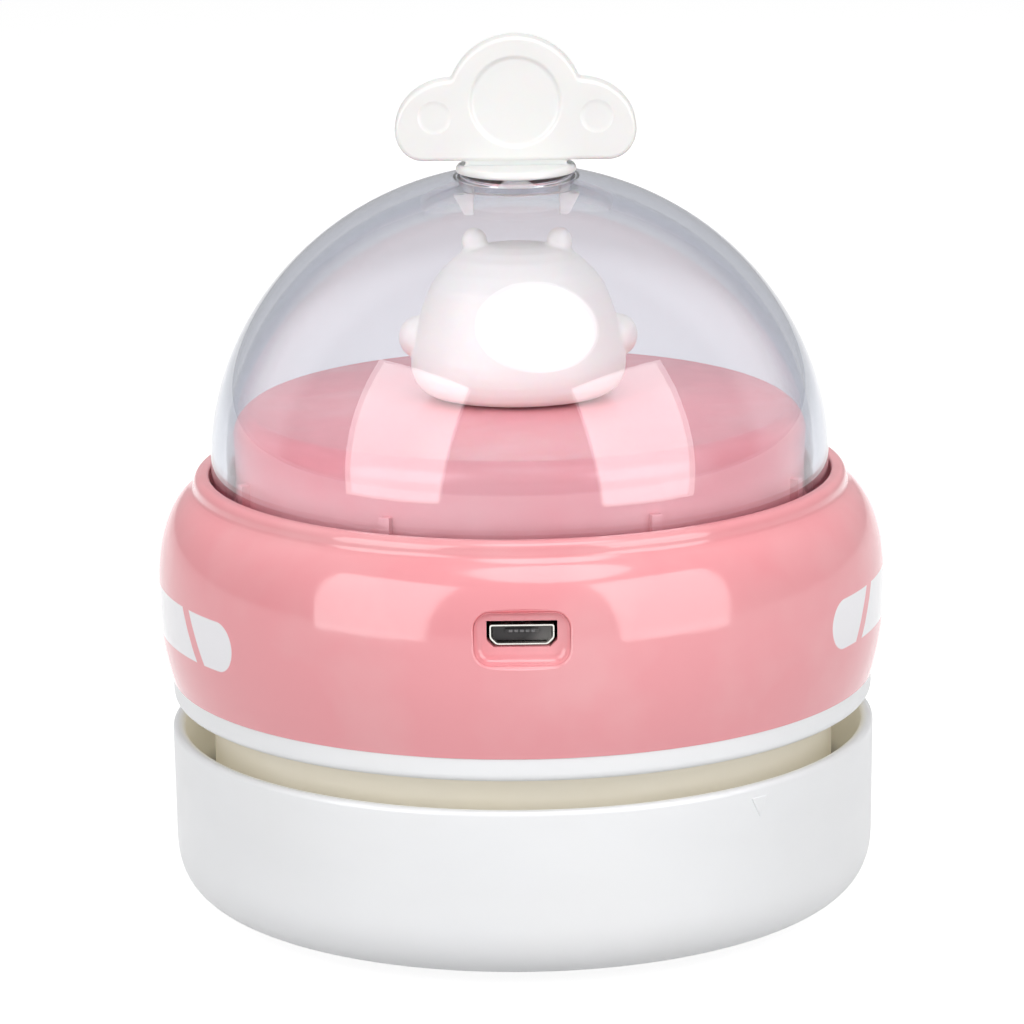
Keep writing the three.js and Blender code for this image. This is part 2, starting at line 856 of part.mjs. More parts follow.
// No window where the gap under the white band would show it from in front
const ventAngles = evenAngles(ventCount, 180 / shellSides).filter((angle) => {
  const fromFront = Math.abs(((angle + 270) % 360) - 180);
  return fromFront < ventBlindFrom || fromFront > ventBlindTo;
});

function fanHousing() {
  const flare = squircle(skirtRadius + skirtFlareReach, flareBottom, skirtFlareReach, skirtFlareDrop,
    2, 2, 180, 90, 4);
  const drum = turned([
    point(skirtInner, skirtBottom),
    point(skirtRadius, skirtBottom),
    ...flare,
    point(0, bandBottom),
    point(0, roofBottom),
    point(chamberRadius, roofBottom),
    point(chamberRadius, orificeTop),
    point(skirtInner, orificeTop),
  ]);
  const vent = block(chamberRadius - overrun, skirtRadius + skirtFlareReach + overrun,
    -ventWidth / 2, ventWidth / 2, ventBottom, ventBottom + ventHeight);
  const high = bandBottom + overrun;
  const low = roofBottom - overrun;
  const shaftHole = disc(motorBossRadius + fit, low, high, smallSides);
  const motorHole = moved(disc(smallScrewRadius + fit, low, high, screwSides), motorScrewSpacing / 2, 0, 0);
  const motorSink = moved(
    disc(smallScrewHeadRadius + fit, low, roofBottom + motorScrewSink, screwSides),
    motorScrewSpacing / 2, 0, 0);
  const postHole = moved(disc(longScrewRadius + fit, low, high, screwSides), postRingRadius, 0, 0);
  return piece("fan_housing", cut(drum, [
    ...around(vent, ventAngles),
    shaftHole,
    ...around(motorHole, motorScrewAngles),
    ...around(motorSink, motorScrewAngles),
    ...around(postHole, postAngles),
    ...around(lockSlot(), lugMiddles),
  ]), creamPlastic);
}

// An L-shaped slot: up from the skirt's edge, then along the way the lug goes
function lockSlot() {
  const inner = skirtInner - fit;
  const outer = skirtRadius + overrun;
  const half = lugAngle / 2 + lockSlack;
  const top = lugTop + fit;
  const entry = sector(inner, outer, -half, half, skirtBottom - overrun, top);
  const run = sector(inner, outer, -half - lockTurn, half, lugBottom - fit, top);
  return entry.add(run);
}

function orificePlate() {
  const lipOuter = orificeRadius + orificeThickness;
  const body = turned([
    point(orificeRadius, orificeBottom),
    point(orificeRadiusOuter, orificeBottom),
    point(orificeRadiusOuter, orificeTop),
    point(lipOuter, orificeTop),
    point(orificeRadius, orificeTop + orificeLip),
  ], midSides);
  return piece("orifice_plate", body, creamPlastic);
}

// Impeller: backward-curved blades under a flat plate, on the motor's shaft

const impellerTop = roofBottom - impellerRoofGap;
const impellerPlateBottom = impellerTop - impellerPlate;
const impellerBottom = orificeTop + orificeLip + impellerFloorGap;
const hubTop = impellerTop + hubRise;

function bladeBody() {
  const front = [];
  const back = [];
  const reach = impellerRadius - bladeInnerRadius;
  for (let i = 0; i <= bladeSteps; i += 1) {
    const share = i / bladeSteps;
    const radius = bladeInnerRadius + reach * share;
    const angle = -radians(bladeSweep) * share;
    const half = bladeThickness / 2 / radius;
    front.push(point(radius * Math.cos(angle - half), radius * Math.sin(angle - half)));
    back.push(point(radius * Math.cos(angle + half), radius * Math.sin(angle + half)));
  }
  const shape = new THREE.Shape([...front, ...back.reverse()]);
  return raised(shape, impellerBottom, impellerPlateBottom + impellerPlate / 2);
}

function impeller() {
  const plate = disc(impellerRadius, impellerPlateBottom, impellerTop);
  const hub = disc(hubRadius, impellerBottom, hubTop, smallSides);
  const bore = disc(shaftRadius + fit / 2, impellerBottom - overrun, hubTop + overrun, screwSides);
  const blades = around(bladeBody(), evenAngles(bladeCount));
  return piece("impeller", cut(joined([plate, hub, ...blades]), [bore]), whitePlastic);
}

function motorShaft() {
  const top = bandBottom + shaftDepth;
  return piece("motor_shaft", disc(shaftRadius, impellerBottom, top, screwSides), steel);
}

// Motor: a round can on the roof of the fan housing, with its brush cap and terminals

function motorCan() {
  const bossBottom = bandBottom - motorBossHeight;
  const outline = turned([
    point(0, bossBottom),
    point(motorBossRadius, bossBottom),
    point(motorBossRadius, bandBottom),
    point(motorRadius - motorEdge, bandBottom),
    point(motorRadius, bandBottom + motorEdge),
    point(motorRadius, motorTop - motorEdge),
    point(motorRadius - motorEdge, motorTop),
    point(0, motorTop),
  ], midSides);
  const bearing = disc(shaftRadius + fit, bossBottom - overrun, bandBottom + shaftDepth + fit, screwSides);
  const thread = moved(
    disc(smallScrewRadius + fit / 2, bandBottom - overrun, bandBottom + motorScrewDepth + fit, screwSides),
    motorScrewSpacing / 2, 0, 0);
  return piece("motor_can", cut(outline, [bearing, ...around(thread, motorScrewAngles)]), steel);
}

function motorEndCap() {
  const edge = motorEdge / 2;
  const body = turned([
    point(0, motorTop),
    point(motorCapRadius, motorTop),
    point(motorCapRadius, motorCapTop - edge),
    point(motorCapRadius - edge, motorCapTop),
    point(0, motorCapTop),
  ], midSides);
  return piece("motor_end_cap", body, blackPlastic);
}

function motorTerminals() {
  const thick = terminalThickness / 2;
  const wide = terminalWidth / 2;
  return [-1, 1].map((side, i) => {
    const x = (side * terminalSpacing) / 2;
    const body = block(x - thick, x + thick, -wide, wide, motorCapTop, motorCapTop + terminalHeight);
    return piece(`motor_terminal_${i + 1}`, body, gold);
  });
}

function motorScrews() {
  const length = roofThickness - motorScrewSink + motorScrewDepth;
  const body = screw(smallScrewRadius, smallScrewHeadRadius, smallScrewHeadHeight, length);
  return motorScrewAngles.map((angle, i) =>
    piece(`motor_screw_${i + 1}`,
      spun(moved(body, motorScrewSpacing / 2, 0, roofBottom + motorScrewSink), angle), steel));
}

// Chassis: the white band that shows, the floor that carries what is inside, and its fittings

const motorHoleRadius = motorRadius + motorGap;
const cellCentre = chassisTop + saddleFloor + cellRadius;
const boardBack = -portRecessFloor + portPadDepth + fit + boardLength;
const boardPostY = boardBack - boardPostInset;
const flangeOuterFace = portRecessFloor - buttonGuideDepth - fit;
const flangeInnerFace = flangeOuterFace - buttonFlangeThickness;
const switchFace = flangeInnerFace - buttonTravel - buttonStep;
const switchBoardFace = switchFace - switchDepth;
const switchBoardBack = switchBoardFace - switchBoardThickness;

function chassis() {
  const bandRadius = shellFootRadius - bandInset;
  const edge = arc(bandRadius - bandEdgeRound, bandBottom + bandEdgeRound, bandEdgeRound, -90, 0, 2);
  const plate = turned([
    point(motorHoleRadius, bandBottom),
    ...edge,
    point(bandRadius, bandTop),
    point(spigotOuter, bandTop),
    point(spigotOuter, spigotTop),
    point(spigotInner, spigotTop),
    point(spigotInner, chassisTop),
    point(motorHoleRadius, chassisTop),
  ]);
  const postHole = moved(disc(longScrewRadius + fit, bandBottom - overrun, chassisTop + overrun, screwSides),
    postRingRadius, 0, 0);
  return piece("chassis", cut(joined([plate, ...saddles(), ...boardPosts(), ...switchRails()]), [
    ...around(postHole, postAngles),
    ...boardPostHoles(),
  ]), whitePlastic);
}

// Two cradles that hold the battery off the floor
function saddles() {
  const half = cellRadius + saddleThickness;
  const groove = roundBarAlongY(cellRadius + fit, cellOffset, cellCentre, -cellLength, cellLength, midSides);
  return [-1, 1].map((side) => {
    const middle = (side * saddleSpacing) / 2;
    const bar = block(cellOffset - half, cellOffset + half,
      middle - saddleThickness / 2, middle + saddleThickness / 2,
      chassisTop - chassisFloor / 2, chassisTop + saddleHeight);
    return bar.subtract(groove);
  });
}

function boardPosts() {
  return [-1, 1].map((side) => moved(
    disc(boardPostRadius, chassisTop - chassisFloor / 2, boardBottom, screwSides),
    side * boardPostOffset, boardPostY, 0));
}

function boardPostHoles() {
  return [-1, 1].map((side) => moved(
    disc(smallScrewRadius + fit / 2, boardTop - boardScrewLength - overrun, boardBottom + overrun, screwSides),
    side * boardPostOffset, boardPostY, 0));
}

// Two slotted rails that hold the upright switch board
function switchRails() {
  const middle = (switchBoardFace + switchBoardBack) / 2;
  const top = buttonHeight - switchBoardHeight / 4;
  const slot = block(-switchBoardWidth / 2 - fit, switchBoardWidth / 2 + fit,
    switchBoardBack - fit, switchBoardFace + fit, buttonHeight - switchBoardHeight / 2 - fit, top + overrun);
  return [-1, 1].map((side) => {
    const inside = side * (switchBoardWidth / 2 - railWidth / 2);
    const outside = side * (switchBoardWidth / 2 + railWidth / 2);
    const rail = block(Math.min(inside, outside), Math.max(inside, outside),
      middle - railDepth / 2, middle + railDepth / 2, chassisTop - chassisFloor / 2, top);
    return rail.subtract(slot);
  });
}

// Upper shell: the pink ring, bulged outside, with a rounded lip round the dome

function shellOutline(inset, fromAngle, toAngle, steps) {
  const centre = shellMaxRadius - shoulderRun;
  return squircle(centre, shellWidest, shoulderRun - inset, shoulderRise - inset,
    shoulderPower, shoulderPower, fromAngle, toAngle, steps);
}

function shellFlank(inset, steps, upwards) {
  const points = [];
  for (let i = 0; i < steps; i += 1) {
    const share = i / steps;
    const height = bandTop + shellMaxRise * share;
    const radius = shellMaxRadius - (shellMaxRadius - shellFootRadius) * (1 - share) ** 2 - inset;
    points.push(point(radius, height));
  }
  return upwards ? points : points.reverse();
}

function angleAtRadius(centre, run, power, radius) {
  return (Math.acos(((radius - centre) / run) ** (power / 2)) * 180) / Math.PI;
}

function upperShell() {
  const centre = shellMaxRadius - shoulderRun;
  const creaseRadius = lipInnerRadius + lipWidth;
  const lipFoot = creaseRadius + lipSpread;
  const topAngle = angleAtRadius(centre, shoulderRun, shoulderPower, lipFoot);
  const innerRun = shoulderRun - shellWall;
  const keepRadius = domeRadius + domeFlangeReach + fit;
  const keepAngle = angleAtRadius(centre, innerRun, shoulderPower, keepRadius);
  const keepPoints = shellOutline(shellWall, keepAngle, 0, 3);
  const keepFoot = Math.min(keepPoints[0].y, shoulderInside - shellKeep);
  const body = turned([
    ...shellFlank(0, 3, true),
    ...shellOutline(0, 0, topAngle, 5),
    point(lipFoot - lipSpread / 2 - lipHollow, crease - lipHollow),
    ...arc(creaseRadius - lipRound, lipTop - lipRound, lipRound, 0, 90, 2),
    point(lipInnerRadius + lipRound, lipTop),
    point(lipInnerRadius, lipTop - lipRound),
    point(lipInnerRadius, shoulderInside),
    point(keepRadius, shoulderInside),
    point(keepRadius, keepFoot),
    ...keepPoints.slice(1),
    ...shellFlank(shellWall, 2, false),
  ]);
  const inside = portRecessFloor - portPadDepth;
  const padShape = roundedRectangle(portRecessWidth + 2 * shellWall, portRecessHeight + 2 * shellWall,
    portRecessCorner, 0, portHeight);
  const skin = shellMaxRadius - shellWall / 2;
  const pad = alongY(padShape, -skin, -inside, { curveSegments: 2 })
    .intersect(shellEnvelope());
  const recess = alongY(roundedRectangle(portRecessWidth, portRecessHeight, portRecessCorner, 0, portHeight),
    -shellMaxRadius - overrun, -portRecessFloor, { curveSegments: 3 });
  const opening = alongY(usbOutline(portOpeningWidth, portOpeningHeight, usbCorner, portHeight),
    -shellMaxRadius - overrun, -inside + overrun);
  const guideRadius = buttonRadius + fit + buttonGuideWall;
  const guide = roundBarAlongY(guideRadius, 0, buttonHeight, portRecessFloor - buttonGuideDepth, skin, midSides)
    .intersect(shellEnvelope());
  const buttonHole = roundBarAlongY(buttonRadius + fit, 0, buttonHeight,
    portRecessFloor - buttonGuideDepth - overrun, shellMaxRadius + overrun, midSides);
  const snap = snapBump();
  return piece("upper_shell", cut(joined([body, pad, guide, ...around(snap, evenAngles(snapCount, 45))]), [
    recess,
    opening,
    buttonHole,
  ]), pinkPlastic);
}

// The space that the shell's skin fills when solid, used to trim what is added inside it
function shellEnvelope() {
  return turned([
    ...shellFlank(shellWall / 2, 3, true),
    ...shellOutline(shellWall / 2, 0, 60, 5),
    point(0, shellWidest + shoulderRise / 2),
    point(0, bandTop),
  ]);
}

// A bump on the shell's inner wall that the deck's flange clicks over
function snapBump() {
  const top = deckFlangeBottom - fit;
  const bottom = top - snapHeight;
  const reach = domeRadius + domeFlangeReach - snapBite;
  const centre = shellMaxRadius - shoulderRun;
  const lift = (bottom - shellWidest) / (shoulderRise - shellWall);
  const wallRadius = centre + (shoulderRun - shellWall) * (1 - lift ** shoulderPower) ** (1 / shoulderPower);
  return sector(reach, wallRadius + shellWall / 2, -snapAngle / 2, snapAngle / 2, bottom, top);
}

// The port's outline: flat on top, with its lower corners cut off
function usbOutline(width, height, corner, centreZ) {
  const shape = new THREE.Shape();
  const half = width / 2;
  const top = centreZ + height / 2;
  const bottom = centreZ - height / 2;
  shape.moveTo(-half, top);
  shape.lineTo(-half, bottom + corner);
  shape.lineTo(-half + corner, bottom);
  shape.lineTo(half - corner, bottom);
  shape.lineTo(half, bottom + corner);
  shape.lineTo(half, top);
  shape.closePath();
  return shape;
}

// Clear dome: one moulding with a flange below and a collar round the hole on top
function dome() {
  const innerRadius = domeRadius - domeWall;
  const innerRise = domeRise - domeWall;
  const collarOuter = domeHoleRadius + domeCollarWall;
  const outerEnd = (Math.acos(domeHoleRadius / domeRadius) * 180) / Math.PI;
  const innerEnd = (Math.acos(collarOuter / innerRadius) * 180) / Math.PI;
  const outer = squircle(0, domeSpring, domeRadius, domeRise, 2, domeRisePower, 0, outerEnd, 8);
  const inner = squircle(0, domeSpring, innerRadius, innerRise, 2, domeRisePower, innerEnd, 0, 5);
  const collarBottom = outer[outer.length - 1].y - domeCollarDepth;
  const flangeRadiusOuter = domeRadius + domeFlangeReach;
  return piece("dome", turned([
    point(flangeRadiusOuter, domeFlangeBottom),
    point(flangeRadiusOuter, domeFlangeTop),
    point(domeRadius, domeFlangeTop),
    ...outer,
    point(domeHoleRadius, collarBottom),
    point(collarOuter, collarBottom),
    ...inner,
    point(innerRadius, domeFlangeBottom),
  ]), clearPlastic);
}

// Deck: the pink platform inside the dome, with the posts that take the long screws
function topDeck() {
  const wallRadius = deckRadius - deckWall;
  const flangeOuter = domeRadius + domeFlangeReach;
  const shoulder = arc(deckRadius - deckShoulder, deckEdge - deckShoulder, deckShoulder, 0, 75, 3);
  const body = turned([
    point(wallRadius, deckFlangeBottom),
    point(flangeOuter, deckFlangeBottom),
    point(flangeOuter, deckFlangeTop),
    point(deckRadius, deckFlangeTop),
    ...shoulder,
    point(deckRadius / 2, deckEdge + deckCrown * 0.75),
    point(0, deckTop),
    point(0, deckUnder + deckCrown),
    point(wallRadius - deckShoulder, deckUnder),
    point(wallRadius, deckUnder - deckShoulder),
  ], midSides);
  const ribReach = domeRadius - domeWall - fit;
  const rib = block(-ribWidth / 2, ribWidth / 2, -ribReach, -deckRadius + deckWall / 2,
    deckFlangeTop - deckFlangeThickness / 2, lipTop + ribTopAboveLip);
  const post = moved(disc(postRadius, chassisTop, deckUnder, smallSides), postRingRadius, 0, 0);
  const hole = moved(disc(postHoleRadius, chassisTop - overrun, chassisTop + postHoleDepth, screwSides),
    postRingRadius, 0, 0);
  const figureHole = disc(figureScrewRadius + fit, deckUnder - overrun, deckTop + overrun, screwSides);
  return piece("top_deck", cut(joined([body, ...around(rib, ribAngles), ...around(post, postAngles)]), [
    ...around(hole, postAngles),
    figureHole,
  ]), pinkPlastic);
}

function longScrews() {
  const length = roofThickness + chassisFloor + postHoleDepth - overrun;
  const body = screw(longScrewRadius, longScrewHeadRadius, longScrewHeadHeight, length);
  return postAngles.map((angle, i) =>
    piece(`housing_screw_${i + 1}`, spun(moved(body, postRingRadius, 0, roofBottom), angle), steel));
}

// Cloud: a thick plate of three lobes on a round flange, with two snap hooks below

const domeCrown = domeSpring + domeRise * (1 - (domeHoleRadius / domeRadius) ** 2) ** (1 / domeRisePower);
const cloudFlangeBottom = domeCrown + fit / 2;
const cloudFlangeTop = cloudFlangeBottom + cloudFlangeThickness;
const cloudBase = cloudFlangeTop + cloudNeckHeight;
const crownLobeCentre = cloudBase + crownLobeRise;
const sideLobeCentre = cloudBase + sideLobeMiddle;
const sideLobeOffset = Math.sqrt(crownLobeRadius ** 2 - (sideLobeTop - crownLobeRise) ** 2);
const catchTop = domeCrown - domeCollarDepth - fit;
const hookTip = catchTop - hookBarbHeight;

function cloudOutline() {
  const corner = squircle(cloudHalfWidth - cloudCornerWidth, sideLobeCentre, cloudCornerWidth,
    sideLobeMiddle, 2, 2, -90, 0, 4);
  const side = squircle(sideLobeOffset, sideLobeCentre, cloudHalfWidth - sideLobeOffset,
    sideLobeTop - sideLobeMiddle, 2, 2, 0, 90, 6);
  const right = [...corner, ...side.slice(1)];
  const valley = (Math.atan2(sideLobeTop - crownLobeRise, sideLobeOffset) * 180) / Math.PI;
  const crown = squircle(0, crownLobeCentre, crownLobeRadius, crownLobeRadius, 2, 2,
    valley, 180 - valley, 14).slice(1, -1);
  const left = right.map((spot) => point(-spot.x, spot.y)).reverse();
  return new THREE.Shape([...right, ...crown, ...left]);
}

function cloudFinial() {
  const half = cloudThickness / 2 - cloudEdge;
  const plate = alongY(cloudOutline(), -half, half, {
    curveSegments: 5,
    bevelEnabled: true,
    bevelThickness: cloudEdge,
    bevelSize: cloudEdge,
    bevelOffset: -cloudEdge,
    bevelSegments: 2,
  });
  const neckPlate = block(-cloudNeckRadius, cloudNeckRadius, -half - cloudEdge / 2, half + cloudEdge / 2,
    cloudFlangeTop - cloudFlangeThickness / 2, cloudBase + cloudEdge + cloudNeckHeight);
  const flange = disc(cloudFlangeRadius, cloudFlangeBottom, cloudFlangeTop);
  const dish = roundBarAlongY(cloudDishRadius, 0, crownLobeCentre + cloudDishLift, cloudThickness / 2 - cloudDishDepth,
    cloudThickness / 2 + overrun, midSides);
  const dimple = roundBarAlongY(cloudDimpleRadius, cloudDimpleOffset, cloudBase + cloudDimpleRise,
    cloudThickness / 2 - cloudDimpleDepth, cloudThickness / 2 + overrun);
  const faceCuts = [dish, dimple, spun(dimple, 180), spun(dish, 180)];
  const farDimple = roundBarAlongY(cloudDimpleRadius, -cloudDimpleOffset, cloudBase + cloudDimpleRise,
    cloudThickness / 2 - cloudDimpleDepth, cloudThickness / 2 + overrun);
  const body = joined([plate, neckPlate, flange, hook(), spun(hook(), 180)]);
  return piece("cloud_finial", cut(body, [...faceCuts, farDimple, spun(farDimple, 180)]), whitePlastic);
}

// A snap hook that runs down inside the dome's collar and catches under its end
function hook() {
  const outside = domeHoleRadius - fit;
  const inside = outside - hookThickness;
  const shape = new THREE.Shape();
  shape.moveTo(inside, cloudFlangeBottom + cloudFlangeThickness / 2);
  shape.lineTo(inside, hookTip);
  shape.lineTo(outside, hookTip);
  shape.lineTo(outside + hookBarb, catchTop);
  shape.lineTo(outside, catchTop);
  shape.lineTo(outside, cloudFlangeBottom + cloudFlangeThickness / 2);
  shape.closePath();
  return alongY(shape, -hookWidth / 2, hookWidth / 2);
}

// Figure: a chubby sitting animal, seen from behind at the port's side

const figureProfileShares = [
  [0.8, 0],
  [0.95, 0.06],
  [1, 0.18],
  [0.96, 0.36],
  [0.9, 0.53],
  [0.83, 0.7],
  [0.71, 0.86],
  [0.52, 0.96],
  [0.25, 1],
];

const figureHeight = (hookTip - deckTop) * figureHeightShare;

function figure() {
  const base = deckTop + fit / 3;
  const outline = figureProfileShares.map(([radius, height]) =>
    point(radius * figureHalfWidth, height * figureHeight));
  const bodyShape = new THREE.LatheGeometry([point(0, 0), ...outline, point(0, figureHeight)], midSides)
    .rotateX(Math.PI / 2)
    .scale(1, figureDepthShare, 1);
  const front = figureHalfWidth * figureDepthShare;
  const headHeight = figureHeight * 0.74;
  const ear = (side) => solid(ball(figureEarRadius).scale(1, 0.6, 1.15)
    .translate(side * figureEarOffset, 0, figureHeight - figureEarRadius / 4));
  const arm = (side) => solid(ball(figureArmRadius).scale(1, 1.2, 1)
    .translate(side * (figureHalfWidth - figureArmRadius / 4), figureArmRadius / 2, figureHeight * 0.38));
  const muzzle = solid(ball(figureMuzzleRadius).scale(1.2, 0.7, 0.8)
    .translate(0, front * 0.77, headHeight - figureMuzzleRadius / 2));
  const whole = joined([
    solid(bodyShape),
    muzzle,
    ...[-1, 1].flatMap((side) => [ear(side), arm(side)]),
  ]);
  const floor = block(-figureHalfWidth * 2, figureHalfWidth * 2, -figureHalfWidth * 2, figureHalfWidth * 2,
    -figureHeight, 0);
  const hole = disc(figureScrewRadius + fit / 2, -overrun, figureScrewLength, screwSides);
  return piece("figure", moved(cut(whole, [floor, hole]), 0, 0, base), figurePlastic);
}

function figureScrew() {
  const length = deckWall + deckCrown + figureScrewLength - overrun;
  const body = screw(figureScrewRadius, figureScrewHeadRadius, figureScrewHeadHeight, length);
  return piece("figure_screw", moved(body, 0, 0, deckUnder), steel);
}

// Charging board with its port

const boardFront = -portRecessFloor + portPadDepth + fit;

function chargeBoard() {
  const board = block(-boardWidth / 2, boardWidth / 2, boardFront, boardBack, boardBottom, boardTop);
  const holes = [-1, 1].map((side) => moved(
    disc(smallScrewRadius + fit, boardBottom - overrun, boardTop + overrun, screwSides),
    side * boardPostOffset, boardPostY, 0));
  return piece("charge_board", cut(board, holes), boardGreen);
}

function boardScrews() {
  const body = screw(smallScrewRadius, smallScrewHeadRadius, smallScrewHeadHeight, boardScrewLength);
  const headDown = body.transform(new THREE.Matrix4().makeRotationX(Math.PI).toArray());
  return [-1, 1].map((side, i) =>
    piece(`board_screw_${i + 1}`, moved(headDown, side * boardPostOffset, boardPostY, boardTop), steel));
}

function usbShell() {
  const front = -portRecessFloor + usbSetback;
  const outer = alongY(usbOutline(usbWidth, usbHeight, usbCorner, portHeight), front, front + usbLength);
  const inner = alongY(
    usbOutline(usbWidth - 2 * usbWall, usbHeight - 2 * usbWall, usbCorner - usbWall / 2, portHeight),
    front - overrun, front + usbLength + overrun);
  return piece("usb_shell", outer.subtract(inner), steel);
}

function usbTongue() {
  const front = -portRecessFloor + usbSetback;
  const back = front + usbLength;
  const gap = usbWall + fit / 2;
  const top = portHeight + usbHeight / 2 - gap;
  const bottom = portHeight - usbHeight / 2 + gap;
  const half = usbWidth / 2 - gap - usbCorner;
  const stem = block(-half, half, back - tongueBlock, back, bottom, top);
  const blade = block(-tongueWidth / 2, tongueWidth / 2, front + tongueSetback, back - tongueBlock / 2,
    top - tongueThickness - fit, top - fit);
  return piece("usb_tongue", stem.add(blade), blackPlastic);
}

// Power button and its latching switch, opposite the port

function powerButton() {
  const cap = roundBarAlongY(buttonRadius, 0, buttonHeight, flangeOuterFace - overrun / 2, shellMaxRadius, midSides);
  const flange = roundBarAlongY(buttonRadius + buttonFlangeReach, 0, buttonHeight, flangeInnerFace,
    flangeOuterFace, midSides);
  return piece("power_button", cap.add(flange), whitePlastic);
}

function switchStem() {
  const back = switchFace - stemHoleDepth + buttonTravel + fit;
  return piece("switch_stem", roundBarAlongY(stemRadius, 0, buttonHeight, back, flangeInnerFace), blackPlastic);
}

function switchBody() {
  const half = switchSize / 2;
  const body = block(-half, half, switchBoardFace, switchFace, buttonHeight - half, buttonHeight + half);
  const hole = roundBarAlongY(stemRadius + fit, 0, buttonHeight, switchFace - stemHoleDepth, switchFace + overrun);
  return piece("switch_body", body.subtract(hole), blackPlastic);
}

function switchBoard() {
  const half = switchBoardWidth / 2;
  const body = block(-half, half, switchBoardBack, switchBoardFace,
    buttonHeight - switchBoardHeight / 2, buttonHeight + switchBoardHeight / 2);
  return piece("switch_board", body, boardGreen);
}

// Battery: a round cell on its cradles, held down by a strap

function batteryCell() {
  const body = roundBarAlongY(cellRadius, cellOffset, cellCentre, -cellLength / 2, cellLength / 2, midSides);
  return piece("battery_cell", body, cellBlue);
}

function batteryTabs() {
  return [-1, 1].map((side, i) => {
    const near = side * (cellLength / 2);
    const far = side * (cellLength / 2 + tabThickness);
    const body = block(cellOffset - tabWidth / 2, cellOffset + tabWidth / 2,
      Math.min(near, far), Math.max(near, far), cellCentre - tabHeight / 2, cellCentre + tabHeight / 2);
    return piece(`battery_tab_${i + 1}`, body, steel);
  });
}

function batteryStrap() {
  const inner = cellRadius + fit;
  const outer = inner + strapThickness;
  const shape = new THREE.Shape();
  shape.moveTo(cellOffset + outer, chassisTop);
  shape.absarc(cellOffset, cellCentre, outer, 0, Math.PI, false);
  shape.lineTo(cellOffset - outer, chassisTop);
  shape.lineTo(cellOffset - inner, chassisTop);
  shape.absarc(cellOffset, cellCentre, inner, Math.PI, 0, true);
  shape.lineTo(cellOffset + inner, chassisTop);
  shape.closePath();
  const body = alongY(shape, -strapWidth / 2, strapWidth / 2, { curveSegments: 6 });
  return piece("battery_strap", body, blackPlastic);
}

// Leads, each along the route that it is clipped on

function lead(name, places, skin) {
  const route = new THREE.CatmullRomCurve3(places.map((place) => new THREE.Vector3(...place)));
  const section = new THREE.Shape();
  section.absarc(0, 0, leadRadius, 0, 2 * Math.PI, false);
  const body = new THREE.ExtrudeGeometry(section, {
    extrudePath: route,
    steps: Math.ceil(route.getLength() / leadStep),
    curveSegments: leadSides / 2,
  });
  return piece(name, solid(body), skin);
}

function routePlace([angle, radiusShare, heightShare]) {
  const radius = spigotInner * radiusShare;
  const height = chassisTop + (deckEdge - chassisTop) * heightShare;
  return [radius * Math.cos(radians(angle)), radius * Math.sin(radians(angle)), height];
}

// Where a lead ends on the charging board, counted from its middle towards either side
function boardPad(place) {
  return [place * leadSpacing, boardBack - leadSpacing / 2, boardTop + leadRadius + fit];
}

function motorLeads() {
  const terminalZ = motorCapTop + terminalHeight / 2;
  const places = [
    boardPad(1),
    ...motorRouteShares.map(routePlace),
    [terminalSpacing / 2, -terminalWidth / 2 - fit, terminalZ],
  ];
  const mirrored = places.map(([x, y, z]) => [-x, y, z]);
  return [
    lead("motor_lead_red", mirrored, redLead),
    lead("motor_lead_black", places, blackLead),
  ];
}

function switchLeads() {
  return switchRouteShares.map((shares, i) => lead(`switch_lead_${i + 1}`, [
    [(i - 2) * leadSpacing, switchBoardBack - fit, buttonHeight],
    ...shares.map(routePlace),
    boardPad(i - 3),
  ], i === 0 ? redLead : blackLead));
}

const laneRadius = postRingRadius - postRadius - leadRadius - laneGap;
const laneHeight = cellCentre + cellRadius + strapThickness + leadRadius + 2 * fit;

function lanePlace([angle, radiusShare, heightShare]) {
  const radius = laneRadius * radiusShare;
  const height = chassisTop + (laneHeight - chassisTop) * heightShare;
  return [radius * Math.cos(radians(angle)), radius * Math.sin(radians(angle)), height];
}

// A battery lead's first two places: on the tab, and beside the cell's upper edge
function cellEnd(side) {
  const end = side * (cellLength / 2 + tabThickness + leadRadius + fit);
  return [
    [cellOffset, end, cellCentre],
    [cellOffset, end + (side * leadRadius) / 2, cellCentre + cellRadius],
  ];
}

function batteryLeads() {
  const black = [...cellEnd(-1), ...blackLaneShares.map(lanePlace), boardPad(3)];
  const red = [
    ...cellEnd(1),
    [cellOffset, cellLength / 2 - leadRadius, laneHeight + leadRadius],
    [cellOffset, 0, laneHeight + leadRadius],
    ...redLaneShares.map(lanePlace),
    boardPad(2),
  ];
  return [
    lead("battery_lead_black", black, blackLead),
    lead("battery_lead_red", red, redLead),
  ];
}

// Assembly

const cupGroup = new THREE.Group();
cupGroup.add(dustCup(), inletPlate(), ...brushes(), ...footPads(), ...plateScrews());

const filterGroup = new THREE.Group();
filterGroup.add(filterFrame(), filterPad());

const rotorGroup = new THREE.Group();
rotorGroup.add(impeller(), motorShaft());

const buttonGroup = new THREE.Group();
buttonGroup.add(powerButton(), switchStem());

const headGroup = new THREE.Group();
headGroup.add(fanHousing(), orificePlate(), chassis(), upperShell(), topDeck(), dome(), cloudFinial());
headGroup.add(figure(), figureScrew(), ...longScrews());
headGroup.add(motorCan(), motorEndCap(), ...motorTerminals(), ...motorScrews());
headGroup.add(batteryCell(), ...batteryTabs(), batteryStrap());
headGroup.add(chargeBoard(), ...boardScrews(), usbShell(), usbTongue());
headGroup.add(switchBoard(), switchBody(), ...motorLeads(), ...switchLeads(), ...batteryLeads());
headGroup.add(rotorGroup, buttonGroup);

const vacuum = new THREE.Group();
vacuum.add(cupGroup, filterGroup, sealRing(), headGroup);

export default vacuum;
